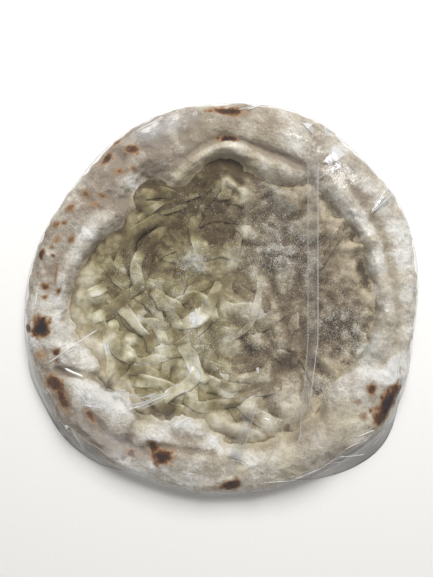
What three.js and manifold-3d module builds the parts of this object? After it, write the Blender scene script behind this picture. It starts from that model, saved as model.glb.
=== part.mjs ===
// A hand-stretched, par-baked pizza base: a thick, lumpy rim folded over a shallow well, soft onion strips
// lying in the well, and the clear shrink film that seals the base and stands off its lower edge in wings.
// Millimetres and degrees. +Z is up, +X and +Y lie in the plane of the base, the film's underside is Z = 0,
// and angles run anticlockwise from +X.
import * as THREE from "three";
import { mergeVertices } from "three/addons/utils/BufferGeometryUtils.js";
import Module from "manifold-3d";

// Driving dimensions of the dough
const DOUGH_RADIUS = 145;
const WELL_RADIUS = 101;
const RIM_HEIGHT = 19;
const WELL_THICKNESS = 6.4;
const EQUATOR_HEIGHT = 9;
const FOOT_INSET = 9;

// Driving dimensions of the onion and the film
const ONION_LEVEL = 10.2;
const STRIP_WIDTH = 8;
const STRIP_THICKNESS = 1.6;
const STRIP_SINK = 0.6;
const FILM_THICKNESS = 0.6;
const FILM_LIP = 0.9;
const WING_EDGE = 1;
const WING_SLUMP = 0.35;

// Neighbours keep this gap, the dough starts one gap above the film's underside sheet, and points as close
// as the weld are one
const GAP = 0.3;
const WELD = 0.001;
const DOUGH_BOTTOM = FILM_THICKNESS + GAP;
const EQUATOR = DOUGH_BOTTOM + EQUATOR_HEIGHT;

// Swells along the angle: [middle, spread, rise]
const OUTLINE_SWELLS = [
  [25, 14, 4],
  [64, 17, 6],
  [147, 24, -7.8],
  [203, 14, 4],
  [226, 14, 4],
  [322, 17, 6],
  [347, 11, -3],
];
const WELL_SWELLS = [
  [18, 10, 3],
  [64, 11, -15],
  [88, 14, -9],
  [110, 10, -20],
  [146, 14, -17],
  [190, 11, 9],
  [231, 8, -7],
  [286, 26, 11],
  [320, 8, -12],
  [348, 16, 12],
];
const RIM_SWELLS = [
  [25, 20, -1],
  [75, 18, 1.5],
  [128, 10, -2],
  [152, 9, 1.5],
  [185, 12, -1.5],
  [214, 13, 1.5],
  [246, 14, 1.5],
  [272, 9, -2.5],
  [305, 20, 1.5],
  [345, 14, -1],
];

// Wings, where the film stands off the dough's lower edge: [middle, spread, reach]
const WING_SWELLS = [
  [202, 9, 6],
  [222, 16, 11],
  [237, 8, 4],
  [298, 9, 5],
  [313, 15, 15.5],
];

// Folds of the rim over the well: a soft roll along an arc, with a crease behind it
const TOP_LIP = { from: 56, to: 118, radius: 99, swells: [[88, 11, 6], [114, 8, -11]], rise: 4 };
const RIGHT_ROLL = { from: -26, to: 46, radius: 114, swells: [[-12, 14, 8], [17, 8, 2]], rise: 3 };
const LEFT_ROLL = { from: 134, to: 190, radius: 112, swells: [[142, 20, -18], [188, 8, 5]], rise: 2 };
const BOTTOM_ROLL = { from: 262, to: 296, radius: 113, swells: [[280, 10, 4]], rise: 2 };
const FOLDS = [TOP_LIP, RIGHT_ROLL, LEFT_ROLL, BOTTOM_ROLL];
const FOLD_FADE = 9;
const ROLL_WIDTH = 6;
const CREASE_DEPTH = 0.6;
const CREASE_BEHIND = 10;
const CREASE_WIDTH = 5;

// Pillows of dough: [x, y, radius, rise]
const PILLOWS = [
  [-88, -85, 18, 4],
  [-29, -105, 20, 4],
  [-62, -97, 12, 2],
  [-102, -51, 11, 3],
  [48, -77, 15, 7],
  [74, -100, 22, 2],
  [97, 67, 16, 2],
  [-104, 55, 14, 2],
  [-78, 90, 15, 2],
];

// Low waves of the stretched dough and of the spread onion: their height above and below the mean,
// their spacing and how they sway, each along X and then along Y
const FLOOR_WAVE = 0.9;
const CROWN_WAVE = 0.7;
const ONION_WAVE = 0.7;
const WAVE_SPACING = [9, 11];
const SWAY_SPACING = [17, 13];
const SWAY = [1.3, 0.8];
const CROWN_WAVE_SHRINK = 1.4;
const ONION_WAVE_SHRINK = 1.2;
const ONION_WAVE_SHIFT = [20, -8];

// Onion strips that lie on top: [x, y, heading, turn along the strip, length]
const MAIN_STRIPS = [
  [-44, 54, 184, 125, 62],
  [-40, 43, 186, 122, 56],
  [-37, 35, -30, 62, 36],
  [-74, 50, 24, -8, 30],
  [-54, -2, -36, 4, 30],
  [-88, 23, -49, -12, 30],
  [-99, -26, 30, 14, 50],
  [-95, -31, -90, 14, 26],
  [-78, -30, -88, 60, 30],
  [-68, -57, -24, 16, 34],
  [-64, -66, -10, -26, 40],
  [-30, -40, -62, 10, 36],
  [-4, -61, -72, 66, 42],
  [-44, -80, 18, 40, 36],
  [-7, 90, -44, 8, 30],
];

// The rest of the strips are strewn by rule
const STREWN_STRIPS = 17;
const STREWN_REACH = 80;
const STREWN_LENGTH = [32, 50];
const STREWN_TURN = 80;
const WIDTH_SHARES = [0.8, 1.15];
const LIFTS = [0, 0.9];
const GOLDEN_TURN = 137.5;
const STREW_SEED = 20;

// Facets round the dough and the onion's core, and facets of one strip
const SEGMENTS = 96;
const CORE_SEGMENTS = 48;
const STRIP_STEPS = 7;

const { degToRad, euclideanModulo, lerp, smoothstep } = THREE.MathUtils;
const manifold = await Module();
manifold.setup();

// Seeded draws from 0 to 1, the same on every run
function seededDraws(seed) {
  const PRIME = 2147483647;
  const FACTOR = 16807;
  let state = seed;
  return () => {
    state = (state * FACTOR) % PRIME;
    return state / PRIME;
  };
}

// A smooth hill: 1 at its middle, fading out over its spread
const hill = (distance, spread) => Math.exp(-((distance / spread) ** 2));

// The shorter way round from one angle to another
const turnBetween = (angle, other) => euclideanModulo(angle - other + 180, 360) - 180;

// A base value with its swells at an angle
function swelled(angle, base, swells) {
  return swells.reduce((sum, [at, spread, rise]) => sum + rise * hill(turnBetween(angle, at), spread), base);
}

const outline = (angle) => swelled(angle, DOUGH_RADIUS, OUTLINE_SWELLS);
const wellEdge = (angle) => swelled(angle, WELL_RADIUS, WELL_SWELLS);
const rimTop = (angle) => DOUGH_BOTTOM + swelled(angle, RIM_HEIGHT, RIM_SWELLS);
const wingReach = (angle) => swelled(angle, 0, WING_SWELLS);

// Waves a few centimetres across, from -1 to 1
function waves(x, y) {
  const along = x / WAVE_SPACING[0] + SWAY[0] * Math.sin(y / SWAY_SPACING[0]);
  const across = y / WAVE_SPACING[1] + SWAY[1] * Math.sin(x / SWAY_SPACING[1]);
  return Math.sin(along) * Math.sin(across);
}

// Height that a fold adds: a roll, and the crease on its outer side, both fading at its ends
function foldRise(angle, radius, fold) {
  const middle = (fold.from + fold.to) / 2;
  const half = (fold.to - fold.from) / 2;
  const past = Math.abs(turnBetween(angle, middle)) - half;
  const fade = 1 - smoothstep(past, -FOLD_FADE, FOLD_FADE);
  const across = radius - swelled(angle, fold.radius, fold.swells);
  const roll = hill(across, ROLL_WIDTH);
  const crease = CREASE_DEPTH * hill(across - CREASE_BEHIND, CREASE_WIDTH);
  return fade * fold.rise * (roll - crease);
}

// Where the rim's section has its inner shoulder and where its outer round begins, as shares of its width
const SHOULDER = 0.4;
const ROUND_START = 0.52;

// Height of the dough's upper face
function doughTop(angle, radius) {
  const x = radius * Math.cos(degToRad(angle));
  const y = radius * Math.sin(degToRad(angle));
  const share = (radius - wellEdge(angle)) / (outline(angle) - wellEdge(angle));
  const drop = Math.min(1, Math.max(0, (share - ROUND_START) / (1 - ROUND_START)));
  const round = Math.sqrt(1 - drop ** 2);
  const folds = FOLDS.reduce((sum, fold) => sum + foldRise(angle, radius, fold), 0);
  const pillow = ([px, py, size, rise]) => rise * hill(Math.hypot(x - px, y - py), size);
  const relief = folds + PILLOWS.reduce((sum, each) => sum + pillow(each), 0);
  const floor = DOUGH_BOTTOM + WELL_THICKNESS + FLOOR_WAVE * waves(x, y) + relief;
  const crownWave = CROWN_WAVE * waves(CROWN_WAVE_SHRINK * x, CROWN_WAVE_SHRINK * y);
  const crown = rimTop(angle) + crownWave + relief;
  const rim = EQUATOR + (crown - EQUATOR) * round;
  return lerp(floor, rim, smoothstep(share, 0, SHOULDER));
}

// A closed body turned round the vertical axis: each station gives [radius, height] at an angle,
// from the bottom's middle, out and up, to the top's middle
function turnedBody(stations, segments) {
  const last = stations.length - 1;
  const template = stations.map((_, index) => new THREE.Vector2(index % last ? 1 : 0, index));
  const geometry = new THREE.LatheGeometry(template, segments);
  const position = geometry.getAttribute("position");
  for (let i = 0; i < position.count; i++) {
    const angle = (Math.floor(i / stations.length) % segments) * (360 / segments);
    const [radius, height] = stations[i % stations.length](angle);
    position.setXYZ(i, radius * Math.cos(degToRad(angle)), radius * Math.sin(degToRad(angle)), height);
  }
  return geometry;
}

// A geometry as a solid that can be joined and cut
function solidOf(geometry) {
  const bare = geometry.clone();
  bare.deleteAttribute("normal");
  bare.deleteAttribute("uv");
  const merged = mergeVertices(bare, WELD);
  const vertProperties = new Float32Array(merged.getAttribute("position").array);
  const triVerts = new Uint32Array(merged.index.array);
  return new manifold.Manifold(new manifold.Mesh({ numProp: 3, vertProperties, triVerts }));
}

// The largest body of a solid, as a geometry again
function geometryOf(solid) {
  const [largest] = solid.decompose().sort((a, b) => b.volume() - a.volume());
  const { vertProperties, triVerts } = largest.getMesh();
  const geometry = new THREE.BufferGeometry();
  geometry.setAttribute("position", new THREE.BufferAttribute(vertProperties, 3));
  geometry.setIndex(new THREE.BufferAttribute(triVerts, 1));
  geometry.computeVertexNormals();
  return geometry;
}

const LOWER_WALL_STEPS = 3;
const UPPER_WALL_STEPS = 5;
const CROWN_STEPS = 9;
const WELL_SHARES = [0.93, 0.8, 0.6, 0.35];

// The rim's outer wall below its widest line: a quarter round from the foot up, grown by a clearance
function lowerWall(clearance) {
  return Array.from({ length: LOWER_WALL_STEPS }, (_, step) => (angle) => {
    const turn = (Math.PI / 2) * (step / LOWER_WALL_STEPS);
    const radius = outline(angle) + clearance - FOOT_INSET * (1 - Math.sin(turn));
    return [radius, EQUATOR - (EQUATOR_HEIGHT + clearance) * Math.cos(turn)];
  });
}

// The dough, grown by a clearance where it is used as a cutter
function doughGeometry(clearance = 0) {
  const onTop = (radius) => (angle) => [radius(angle), doughTop(angle, radius(angle)) + clearance];
  const onRim = (share) => onTop((angle) => lerp(wellEdge(angle), outline(angle), share));
  const upperWall = Array.from({ length: UPPER_WALL_STEPS }, (_, step) => {
    const turn = (Math.PI / 2) * (1 - (step + 1) / UPPER_WALL_STEPS);
    return onRim(lerp(ROUND_START, 1, Math.sin(turn)));
  });
  const crownShare = (step) => ROUND_START * (1 - (step + 1) / CROWN_STEPS);
  const stations = [
    () => [0, DOUGH_BOTTOM - clearance],
    ...lowerWall(clearance),
    (angle) => [outline(angle) + clearance, EQUATOR],
    ...upperWall,
    ...Array.from({ length: CROWN_STEPS }, (_, step) => onRim(crownShare(step))),
    ...WELL_SHARES.map((share) => onTop((angle) => share * wellEdge(angle))),
    () => [0, doughTop(0, 0) + clearance],
  ];
  return turnedBody(stations, SEGMENTS);
}

// Level of the soft onion between the strips, uneven as it was spread
function onionLevel(x, y) {
  const along = ONION_WAVE_SHRINK * x + ONION_WAVE_SHIFT[0];
  const across = ONION_WAVE_SHRINK * y + ONION_WAVE_SHIFT[1];
  return ONION_LEVEL + ONION_WAVE * waves(along, across);
}

// The onion's core: a disc from inside the dough up to the onion's level, wider than the well
function onionCore() {
  const CORE_SHARES = [1.25, 0.9, 0.7, 0.5, 0.3];
  const CORE_BOTTOM = DOUGH_BOTTOM + 1;
  const surface = CORE_SHARES.map((share) => (angle) => {
    const radius = share * wellEdge(angle);
    return [radius, onionLevel(radius * Math.cos(degToRad(angle)), radius * Math.sin(degToRad(angle)))];
  });
  const stations = [
    () => [0, CORE_BOTTOM],
    (angle) => [CORE_SHARES[0] * wellEdge(angle), CORE_BOTTOM],
    ...surface,
    () => [0, onionLevel(0, 0)],
  ];
  return turnedBody(stations, CORE_SEGMENTS);
}

// One onion strip: a flat bar bent along an arc, with a crowned top, laid on the onion's level
function onionStrip([x, y, heading, turn, length], width, lift) {
  const geometry = new THREE.BoxGeometry(1, 1, 1, STRIP_STEPS, 2, 1);
  const position = geometry.getAttribute("position");
  const start = degToRad(heading);
  const bend = degToRad(turn || 1);
  const bendRadius = length / bend;
  for (let i = 0; i < position.count; i++) {
    const direction = start + bend * (position.getX(i) + 0.5);
    const across = position.getY(i);
    const side = bendRadius - across * width;
    const px = x - bendRadius * Math.sin(start) + side * Math.sin(direction);
    const py = y + bendRadius * Math.cos(start) - side * Math.cos(direction);
    const crown = STRIP_THICKNESS * (1 - 2 * across ** 2);
    const rise = position.getZ(i) > 0 ? lift + crown : -STRIP_SINK;
    position.setXYZ(i, px, py, onionLevel(px, py) + rise);
  }
  return geometry;
}

// Every strip's place: the main ones, then those strewn by rule over the well
function stripPlaces() {
  const draw = seededDraws(STREW_SEED);
  const strewn = Array.from({ length: STREWN_STRIPS }, (_, index) => {
    const radius = STREWN_REACH * Math.sqrt((index + draw()) / STREWN_STRIPS);
    const angle = degToRad(GOLDEN_TURN * index);
    const heading = 360 * draw();
    const turn = STREWN_TURN * (2 * draw() - 1);
    const length = lerp(...STREWN_LENGTH, draw());
    return [radius * Math.cos(angle), radius * Math.sin(angle), heading, turn, length];
  });
  return [...MAIN_STRIPS, ...strewn];
}

// The onion: core and strips in one, cut clear of the dough
function onionTopping() {
  const draw = seededDraws(STREW_SEED + 1);
  const strip = (place) => {
    const width = STRIP_WIDTH * lerp(...WIDTH_SHARES, draw());
    return solidOf(onionStrip(place, width, lerp(...LIFTS, draw())));
  };
  const heap = stripPlaces().reduce((joined, place) => joined.add(strip(place)), solidOf(onionCore()));
  return geometryOf(heap.subtract(solidOf(doughGeometry(GAP))));
}

// The film: its underside sheet and its skirt round the dough's lower edge, drawn out into wings
function filmWrap() {
  const LIP_HEIGHT = EQUATOR + 1;
  const PLUG_TOP = LIP_HEIGHT + RIM_HEIGHT;
  const lip = (angle) => outline(angle) + GAP + FILM_LIP;
  const skirt = (angle) => lip(angle) - FOOT_INSET / 3 + wingReach(angle);
  const body = [
    () => [0, 0],
    (angle) => [skirt(angle) - WING_EDGE, 0],
    (angle) => [skirt(angle), WING_EDGE],
    (angle) => [lerp(lip(angle), skirt(angle), WING_SLUMP), LIP_HEIGHT / 2],
    (angle) => [lip(angle), LIP_HEIGHT],
    () => [0, LIP_HEIGHT],
  ];
  const plug = [
    () => [0, FILM_THICKNESS],
    ...lowerWall(GAP),
    (angle) => [outline(angle) + GAP, EQUATOR],
    (angle) => [outline(angle) + GAP, PLUG_TOP],
    () => [0, PLUG_TOP],
  ];
  return geometryOf(solidOf(turnedBody(body, SEGMENTS)).subtract(solidOf(turnedBody(plug, SEGMENTS))));
}

const dough = new THREE.MeshStandardMaterial({ color: 0xd9cfbd, roughness: 0.85, metalness: 0 });
const onion = new THREE.MeshStandardMaterial({ color: 0xa89b72, roughness: 0.45, metalness: 0 });
const film = new THREE.MeshStandardMaterial({ color: 0xe6e8ea, roughness: 0.1, metalness: 0 });
film.transparent = true;
film.opacity = 0.35;

// A named piece of the base
function piece(name, geometry, material) {
  const mesh = new THREE.Mesh(geometry, material);
  mesh.name = name;
  return mesh;
}

const base = new THREE.Group();
base.add(
  piece("crust", doughGeometry(), dough),
  piece("onion_topping", onionTopping(), onion),
  piece("film_wrap", filmWrap(), film),
);

// The origin is the middle of the underside
const middle = new THREE.Box3().setFromObject(base).getCenter(new THREE.Vector3());
base.position.set(-middle.x, -middle.y, 0);

export default base;
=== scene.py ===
"""A par-baked pizza base sealed in clear shrink film: dough, onion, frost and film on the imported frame."""

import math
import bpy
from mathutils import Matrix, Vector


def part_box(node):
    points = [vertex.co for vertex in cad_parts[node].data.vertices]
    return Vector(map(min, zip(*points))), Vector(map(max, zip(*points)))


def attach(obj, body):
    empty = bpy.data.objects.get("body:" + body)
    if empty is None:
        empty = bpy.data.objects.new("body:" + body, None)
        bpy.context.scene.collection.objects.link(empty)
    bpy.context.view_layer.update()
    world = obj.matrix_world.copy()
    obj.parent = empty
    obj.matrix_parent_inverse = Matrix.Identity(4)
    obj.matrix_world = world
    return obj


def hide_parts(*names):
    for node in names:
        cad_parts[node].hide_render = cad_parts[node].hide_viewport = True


bl_info = {
    "name": "Pizza Base in Film",
    "version": (1, 0, 0),
    "blender": (4, 5, 0),
    "location": "3D View > Sidebar > Pizza Base",
    "description": "Dresses the packed pizza base with dough, onion, frost and shrink film",
    "category": "Object",
}

import bpy
import numpy as np
from bpy.props import FloatProperty, FloatVectorProperty, IntProperty, PointerProperty
from mathutils import Vector, noise
from mathutils.bvhtree import BVHTree

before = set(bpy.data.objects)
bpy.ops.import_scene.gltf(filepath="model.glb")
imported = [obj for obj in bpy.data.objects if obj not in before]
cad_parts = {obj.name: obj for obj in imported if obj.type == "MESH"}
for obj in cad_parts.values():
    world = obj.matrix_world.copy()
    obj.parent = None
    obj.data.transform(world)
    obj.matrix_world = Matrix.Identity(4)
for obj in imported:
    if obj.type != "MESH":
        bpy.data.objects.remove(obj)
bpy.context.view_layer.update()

# Millimetres in metres: below, sizes are in millimetres and angles in degrees unless a comment says otherwise
MM = 0.001

# The photo's frame, in its pixels
PHOTO_WIDTH = 433
PHOTO_HEIGHT = 577

# A pixel that just misses the base is drawn in towards the photo's middle, to this share at most
PHOTO_DRAWN_IN = 0.7
PHOTO_TRIES = 31

# Rays that feel for a surface start this high above the base, or this far out from its middle
RAY_HEIGHT = 100
RAY_RADIUS = 220

# Camera: its lens, its nearest view and the place that it looks at
LENS = 31.9
NEAREST_VIEW = 10
LOOKED_AT = (-4.3, 0.2, 10)

# Lights: (name, azimuth from +X, elevation, side in metres, power in watts, what the light is seen in)
LIGHTS = [
    ("key", 80, 50, 0.7, 17, "diffuse"),
    ("window", 114, 23, 0.4, 0.9, "glossy"),
    ("low window", 228, 34, 0.6, 2.5, "glossy"),
    ("glint", 58, 54, 0.12, 0.8, "both"),
]
LIGHT_DISTANCE = 1.2
SKY_STRENGTH = 0.33
FLOOR_SIDE = 6

# Uneven tone and relief of each material, as noise: [size in millimetres, detail, roughness]
# Flour, rime and paper fibre are finer in life, and are drawn as coarse as they need to show
DOUGH_NOISE = {
    "patches": (22, 4, 0.6), "mottle": (3.2, 4, 0.65), "flecks": (1.5, 2, 0.6),
    "speckle": (1.8, 3, 0.6), "wrinkles": (3.4, 2, 0.5), "grain": (1.4, 3, 0.6),
}
ONION_NOISE = {"patches": (13, 4, 0.6), "shreds": (4, 3, 0.6), "specks": (1.5, 2, 0.6), "rime": (1.1, 3, 0.7)}
FROST_NOISE = {"shade": (4, 2, 0.5)}
FILM_NOISE = {"wrinkles": (7, 3, 0.55)}
PAPER_NOISE = {"fibre": (2, 2, 0.5)}

# Grain of the onion's surface, on the bed and on the strips
BED_GRAIN = 2.2
STRIP_GRAIN = 1.6

# The dough's packed box: its underside and its widest line
DOUGH_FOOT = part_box("crust")[0].z / MM
FOOT_INSET = 9
EQUATOR = DOUGH_FOOT + 9

# Rings of the dough's mesh, from the middle of its underside to the middle of its top
CRUST_SEGMENTS = 840
UNDERSIDE_SHARES = [0, 0.45, 0.85, 1]
LOWER_WALL_RINGS = 7
UPPER_WALL_RINGS = 6
UPPER_WALL_STEP = 1
CROWN_RINGS = 88
CROWN_END = 68
WELL_RINGS = 9

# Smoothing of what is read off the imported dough, in steps of the mesh: its wall round, its top down and round
WALL_SMOOTHING = 4
TOP_SMOOTHING_DOWN = 2
TOP_SMOOTHING_ROUND = 5

# How far the well reaches under the rim's lip: a base reach, then [bearing, spread, reach]
BASE_UNDERCUT = 0.5
UNDERCUTS = [(86, 24, 5), (14, 34, 0.5), (222, 14, 1.5), (252, 14, 1.5)]
# The undercut reaches from the well's level to just below the crest, and fades over a width inside it
UNDERCUT_LEVEL = 9
UNDERCUT_BELOW_CREST = 1
UNDERCUT_INSET = 12
UNDERCUT_FADE = 26
CREST_RADII = (86, 138)
CREST_SMOOTHING = 6

# Uneven dough: [size of the lumps, height from hollow to hump]
DOUGH_LUMPS = [(24, 3.0), (10, 2.6), (4.5, 1.1), (2, 0.35)]

# Lumps start above the foot, and they are lower in the well and full on the rim
LUMP_HEIGHTS = (2, 6)
LUMP_RADII = (70, 105)
WELL_LUMPS = 0.35

# The dough's highest lumps are rounded off below this height, over this much
LUMP_CEILING = 24.6
LUMP_ROUNDING = 3

# Rolls and creases of the dough, along lines of the photo's pixels: (line, width, rise), creases below 0
FOLD_LEVEL = 20
FOLDS = [
    ([(170, 184), (184, 175), (198, 163), (209, 155), (222, 151), (235, 152), (248, 159), (263, 167),
      (279, 173), (293, 176)], 5.0, 2.6),
    ([(186, 158), (200, 147), (214, 140), (230, 137), (246, 142), (264, 150), (284, 156), (304, 166)],
      3.4, -2.4),
    ([(328, 188), (345, 208), (358, 225), (369, 243), (372, 262), (377, 285), (383, 308), (383, 328),
      (376, 348)], 4.6, 3.8),
    ([(346, 184), (362, 200), (374, 218), (384, 240), (388, 262), (393, 285), (399, 306), (399, 330)],
      5.0, -1.6),
    ([(350, 214), (338, 226)], 5.5, 2.0),
    ([(374, 240), (352, 244)], 5.5, 2.4),
    ([(377, 262), (364, 256)], 5.0, 1.4),
    ([(384, 290), (370, 296)], 5.5, 2.0),
    ([(388, 318), (374, 330)], 5.5, 2.0),
    ([(138, 198), (121, 209), (107, 224), (93, 236), (78, 254), (70, 269), (66, 284), (60, 302)],
      4.0, 1.8),
    ([(116, 188), (100, 202), (86, 218), (70, 238), (58, 260)], 4.0, -1.4),
    ([(114, 190), (124, 182), (136, 178)], 4.5, 2.0),
    ([(150, 170), (166, 172), (176, 178)], 4.5, 1.6),
    ([(66, 352), (80, 358), (94, 366)], 6.0, 3.0),
    ([(58, 371), (78, 374), (96, 376), (110, 384)], 3.4, -4.2),
    ([(78, 390), (98, 398), (118, 410), (130, 424)], 9.0, 2.6),
    ([(136, 398), (140, 418), (128, 442)], 3.4, -4.0),
    ([(92, 414), (104, 432), (124, 446), (150, 452)], 3.6, -2.6),
    ([(150, 428), (176, 426), (200, 432), (214, 440)], 6.5, 3.4),
    ([(150, 446), (172, 448), (196, 452), (214, 455)], 2.8, -3.6),
    ([(306, 366), (314, 384), (320, 402), (322, 418)], 3.6, -3.4),
    ([(268, 372), (264, 392), (268, 414)], 3.2, -2.4),
    ([(222, 458), (246, 448), (262, 434)], 4.5, 2.4),
    ([(108, 140), (120, 158)], 3.4, -2.6),
    ([(70, 188), (88, 200)], 3.4, -2.2),
    ([(62, 236), (52, 262), (46, 290)], 4.0, -1.6),
    ([(262, 126), (290, 134), (316, 148)], 7.0, 1.6),
    ([(232, 474), (262, 466), (300, 456), (330, 444)], 6.0, 1.6),
    ([(52, 300), (60, 320), (64, 340)], 4.0, -2.0),
]

# Humps and hollows of the spread onion, at the photo's pixels: [x, y, length, width, lean, rise]
WELL_FEATURES = [
    (246, 171, 34, 8, -24, -2.6), (203, 188, 18, 9, -8, -2.4), (147, 186, 14, 6, 0, -1.8),
    (272, 204, 34, 8, -52, -1.8), (333, 214, 14, 9, -30, -1.0), (355, 237, 14, 8, -20, -2.0),
    (362, 270, 24, 8, -80, -2.4), (286, 257, 26, 5, -6, -1.6), (149, 232, 24, 4, 38, -1.6),
    (127, 252, 16, 5, 80, -1.4), (110, 316, 18, 4, 40, -1.4), (97, 307, 8, 6, 0, -1.4),
    (160, 349, 16, 8, 0, -1.5), (132, 377, 12, 7, 0, -1.2), (211, 381, 12, 8, -60, -1.4),
    (233, 317, 14, 8, -40, -1.6), (254, 353, 20, 9, -10, -2.0), (284, 364, 26, 9, 30, -2.0),
    (330, 338, 18, 12, 20, -1.6), (348, 342, 12, 8, 0, -1.2), (316, 388, 28, 8, -84, -1.2),
    (272, 402, 16, 6, -80, -2.0), (167, 407, 22, 14, 10, -2.4), (140, 418, 14, 8, 72, -1.8),
    (111, 386, 9, 7, -20, -2.2), (257, 427, 16, 6, -40, -1.6), (186, 236, 20, 10, 20, -1.0),
    (215, 215, 24, 14, 0, -1.2), (310, 245, 26, 10, 0, -1.0), (320, 285, 20, 10, 60, -1.0),
    (228, 282, 16, 10, 0, -0.8), (274, 192, 34, 6, -38, 1.6), (302, 190, 12, 10, 0, 1.4),
    (233, 186, 26, 6, -34, 1.4), (346, 221, 22, 6, -8, 2.4), (356, 248, 26, 7, 10, 2.8),
    (373, 297, 16, 7, 35, 2.4), (228, 250, 12, 16, 0, 1.2), (190, 265, 22, 14, -50, 1.6),
    (92, 278, 20, 14, 40, 1.6), (83, 298, 12, 10, 0, 1.4), (100, 347, 14, 10, 0, 1.2),
    (127, 338, 12, 16, 0, 1.2), (169, 346, 10, 14, 0, 1.2), (194, 341, 10, 10, 0, 1.2),
    (250, 314, 18, 14, 30, 1.6), (276, 342, 12, 10, 0, 1.2), (249, 377, 14, 10, 0, 1.6),
    (225, 400, 14, 12, 0, 1.2), (200, 440, 16, 10, 0, 1.4), (338, 310, 16, 12, 0, 1.2),
    (270, 290, 20, 14, 0, 1.2), (300, 225, 16, 10, -30, 1.0), (205, 300, 12, 18, 0, 1.0),
    (322, 360, 18, 6, -45, 1.2),
]
# How high they stand in the onion, and how much of the hollows the dough takes up
FEATURE_SHARE = 1.5
DOUGH_HOLLOW_SHARE = 0.6

# Where the rim is darker (above 0) or paler, round its bearings: [bearing, spread, shift]
RIM_TONE_STRETCHES = [
    (116, 36, 0.26), (62, 26, 0.1), (158, 16, 0.06), (225, 34, -0.22), (2, 34, -0.14), (196, 16, -0.08),
]

# Darker (above 0) and paler spots of the dough, at the photo's pixels: [x, y, radius in millimetres, shift];
# partly the dough's own tone, partly painted light on the top lip's shaded face and the right rim, and painted
# shade on the lower left of the rim
DOUGH_TONES_AND_SHADE = [
    (184, 175, 9, -0.25), (207, 157, 9, -0.3), (233, 152, 9, -0.35), (262, 163, 9, -0.3),
    (285, 171, 8, -0.2), (112, 172, 20, 0.2), (100, 398, 20, -0.15), (172, 424, 16, -0.2),
    (128, 464, 14, -0.16), (380, 290, 16, -0.1), (96, 424, 10, 0.35), (122, 445, 12, 0.3),
    (152, 447, 9, 0.15), (88, 228, 10, -0.3), (72, 252, 8, -0.2), (102, 212, 8, -0.2),
    (70, 206, 10, -0.15), (136, 184, 9, -0.3), (296, 134, 16, -0.25), (402, 372, 8, -0.3),
    (362, 228, 10, -0.16), (376, 256, 9, -0.14), (384, 300, 9, -0.12), (88, 424, 10, 0.25),
    (136, 182, 8, -0.5), (346, 208, 9, -0.18), (70, 416, 9, 0.4), (92, 440, 9, 0.45),
    (116, 452, 10, 0.45), (142, 458, 9, 0.3), (184, 452, 8, 0.35), (60, 392, 8, 0.2),
    (398, 378, 9, -0.35), (376, 374, 8, -0.3), (210, 447, 8, -0.35), (232, 446, 8, -0.35),
    (184, 424, 8, -0.2), (100, 436, 10, 0.2), (76, 424, 8, 0.2), (184, 183, 7, 0.35), (42, 374, 8, 0.25),
    (64, 410, 9, 0.25), (112, 448, 9, 0.3), (376, 206, 9, -0.3), (402, 374, 8, -0.25),
    (300, 452, 14, 0.12), (66, 216, 16, -0.04), (124, 186, 8, -0.25), (108, 176, 12, 0.12),
    (40, 362, 9, 0.2), (64, 374, 9, 0.15), (64, 400, 9, 0.2), (88, 422, 9, 0.25), (112, 424, 9, 0.2),
    (112, 446, 9, 0.25), (376, 326, 8, 0.25), (376, 278, 8, 0.2), (400, 374, 9, -0.3),
    (394, 258, 9, -0.16), (398, 300, 9, -0.14), (388, 226, 8, -0.12), (394, 290, 16, 0.08),
    (210, 420, 7, 0.2), (328, 420, 9, 0.15), (64, 410, 10, 0.2), (184, 182, 7, 0.3),
]

# Where oil has soaked into the dough, at the photo's pixels: [x, y, radius in millimetres, share]
OILY_SPOTS = [
    (186, 174, 8, 1.2), (207, 160, 8, 1.3), (230, 153, 8, 1.3), (252, 161, 8, 1.1), (274, 170, 8, 0.7),
    (85, 370, 7, 0.6), (120, 385, 6, 0.6), (142, 423, 6, 0.8), (160, 412, 6, 0.5), (190, 412, 6, 0.5),
    (215, 425, 7, 0.5), (236, 438, 8, 0.6), (258, 446, 8, 0.6), (286, 446, 9, 0.5), (318, 420, 10, 0.5),
    (350, 424, 12, 0.9), (376, 424, 10, 0.9), (234, 470, 10, 0.9), (284, 468, 12, 0.8),
    (390, 330, 12, 0.35), (392, 280, 14, 0.35), (372, 240, 10, 0.3), (208, 128, 14, 0.3),
    (262, 132, 14, 0.3),
]
# Oil also soaks the dough beside the onion, up to a height above the bed, which is far down where it ends
OIL_SOAK = 0.6
OIL_CREEP = 5
NO_BED = -50

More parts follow.
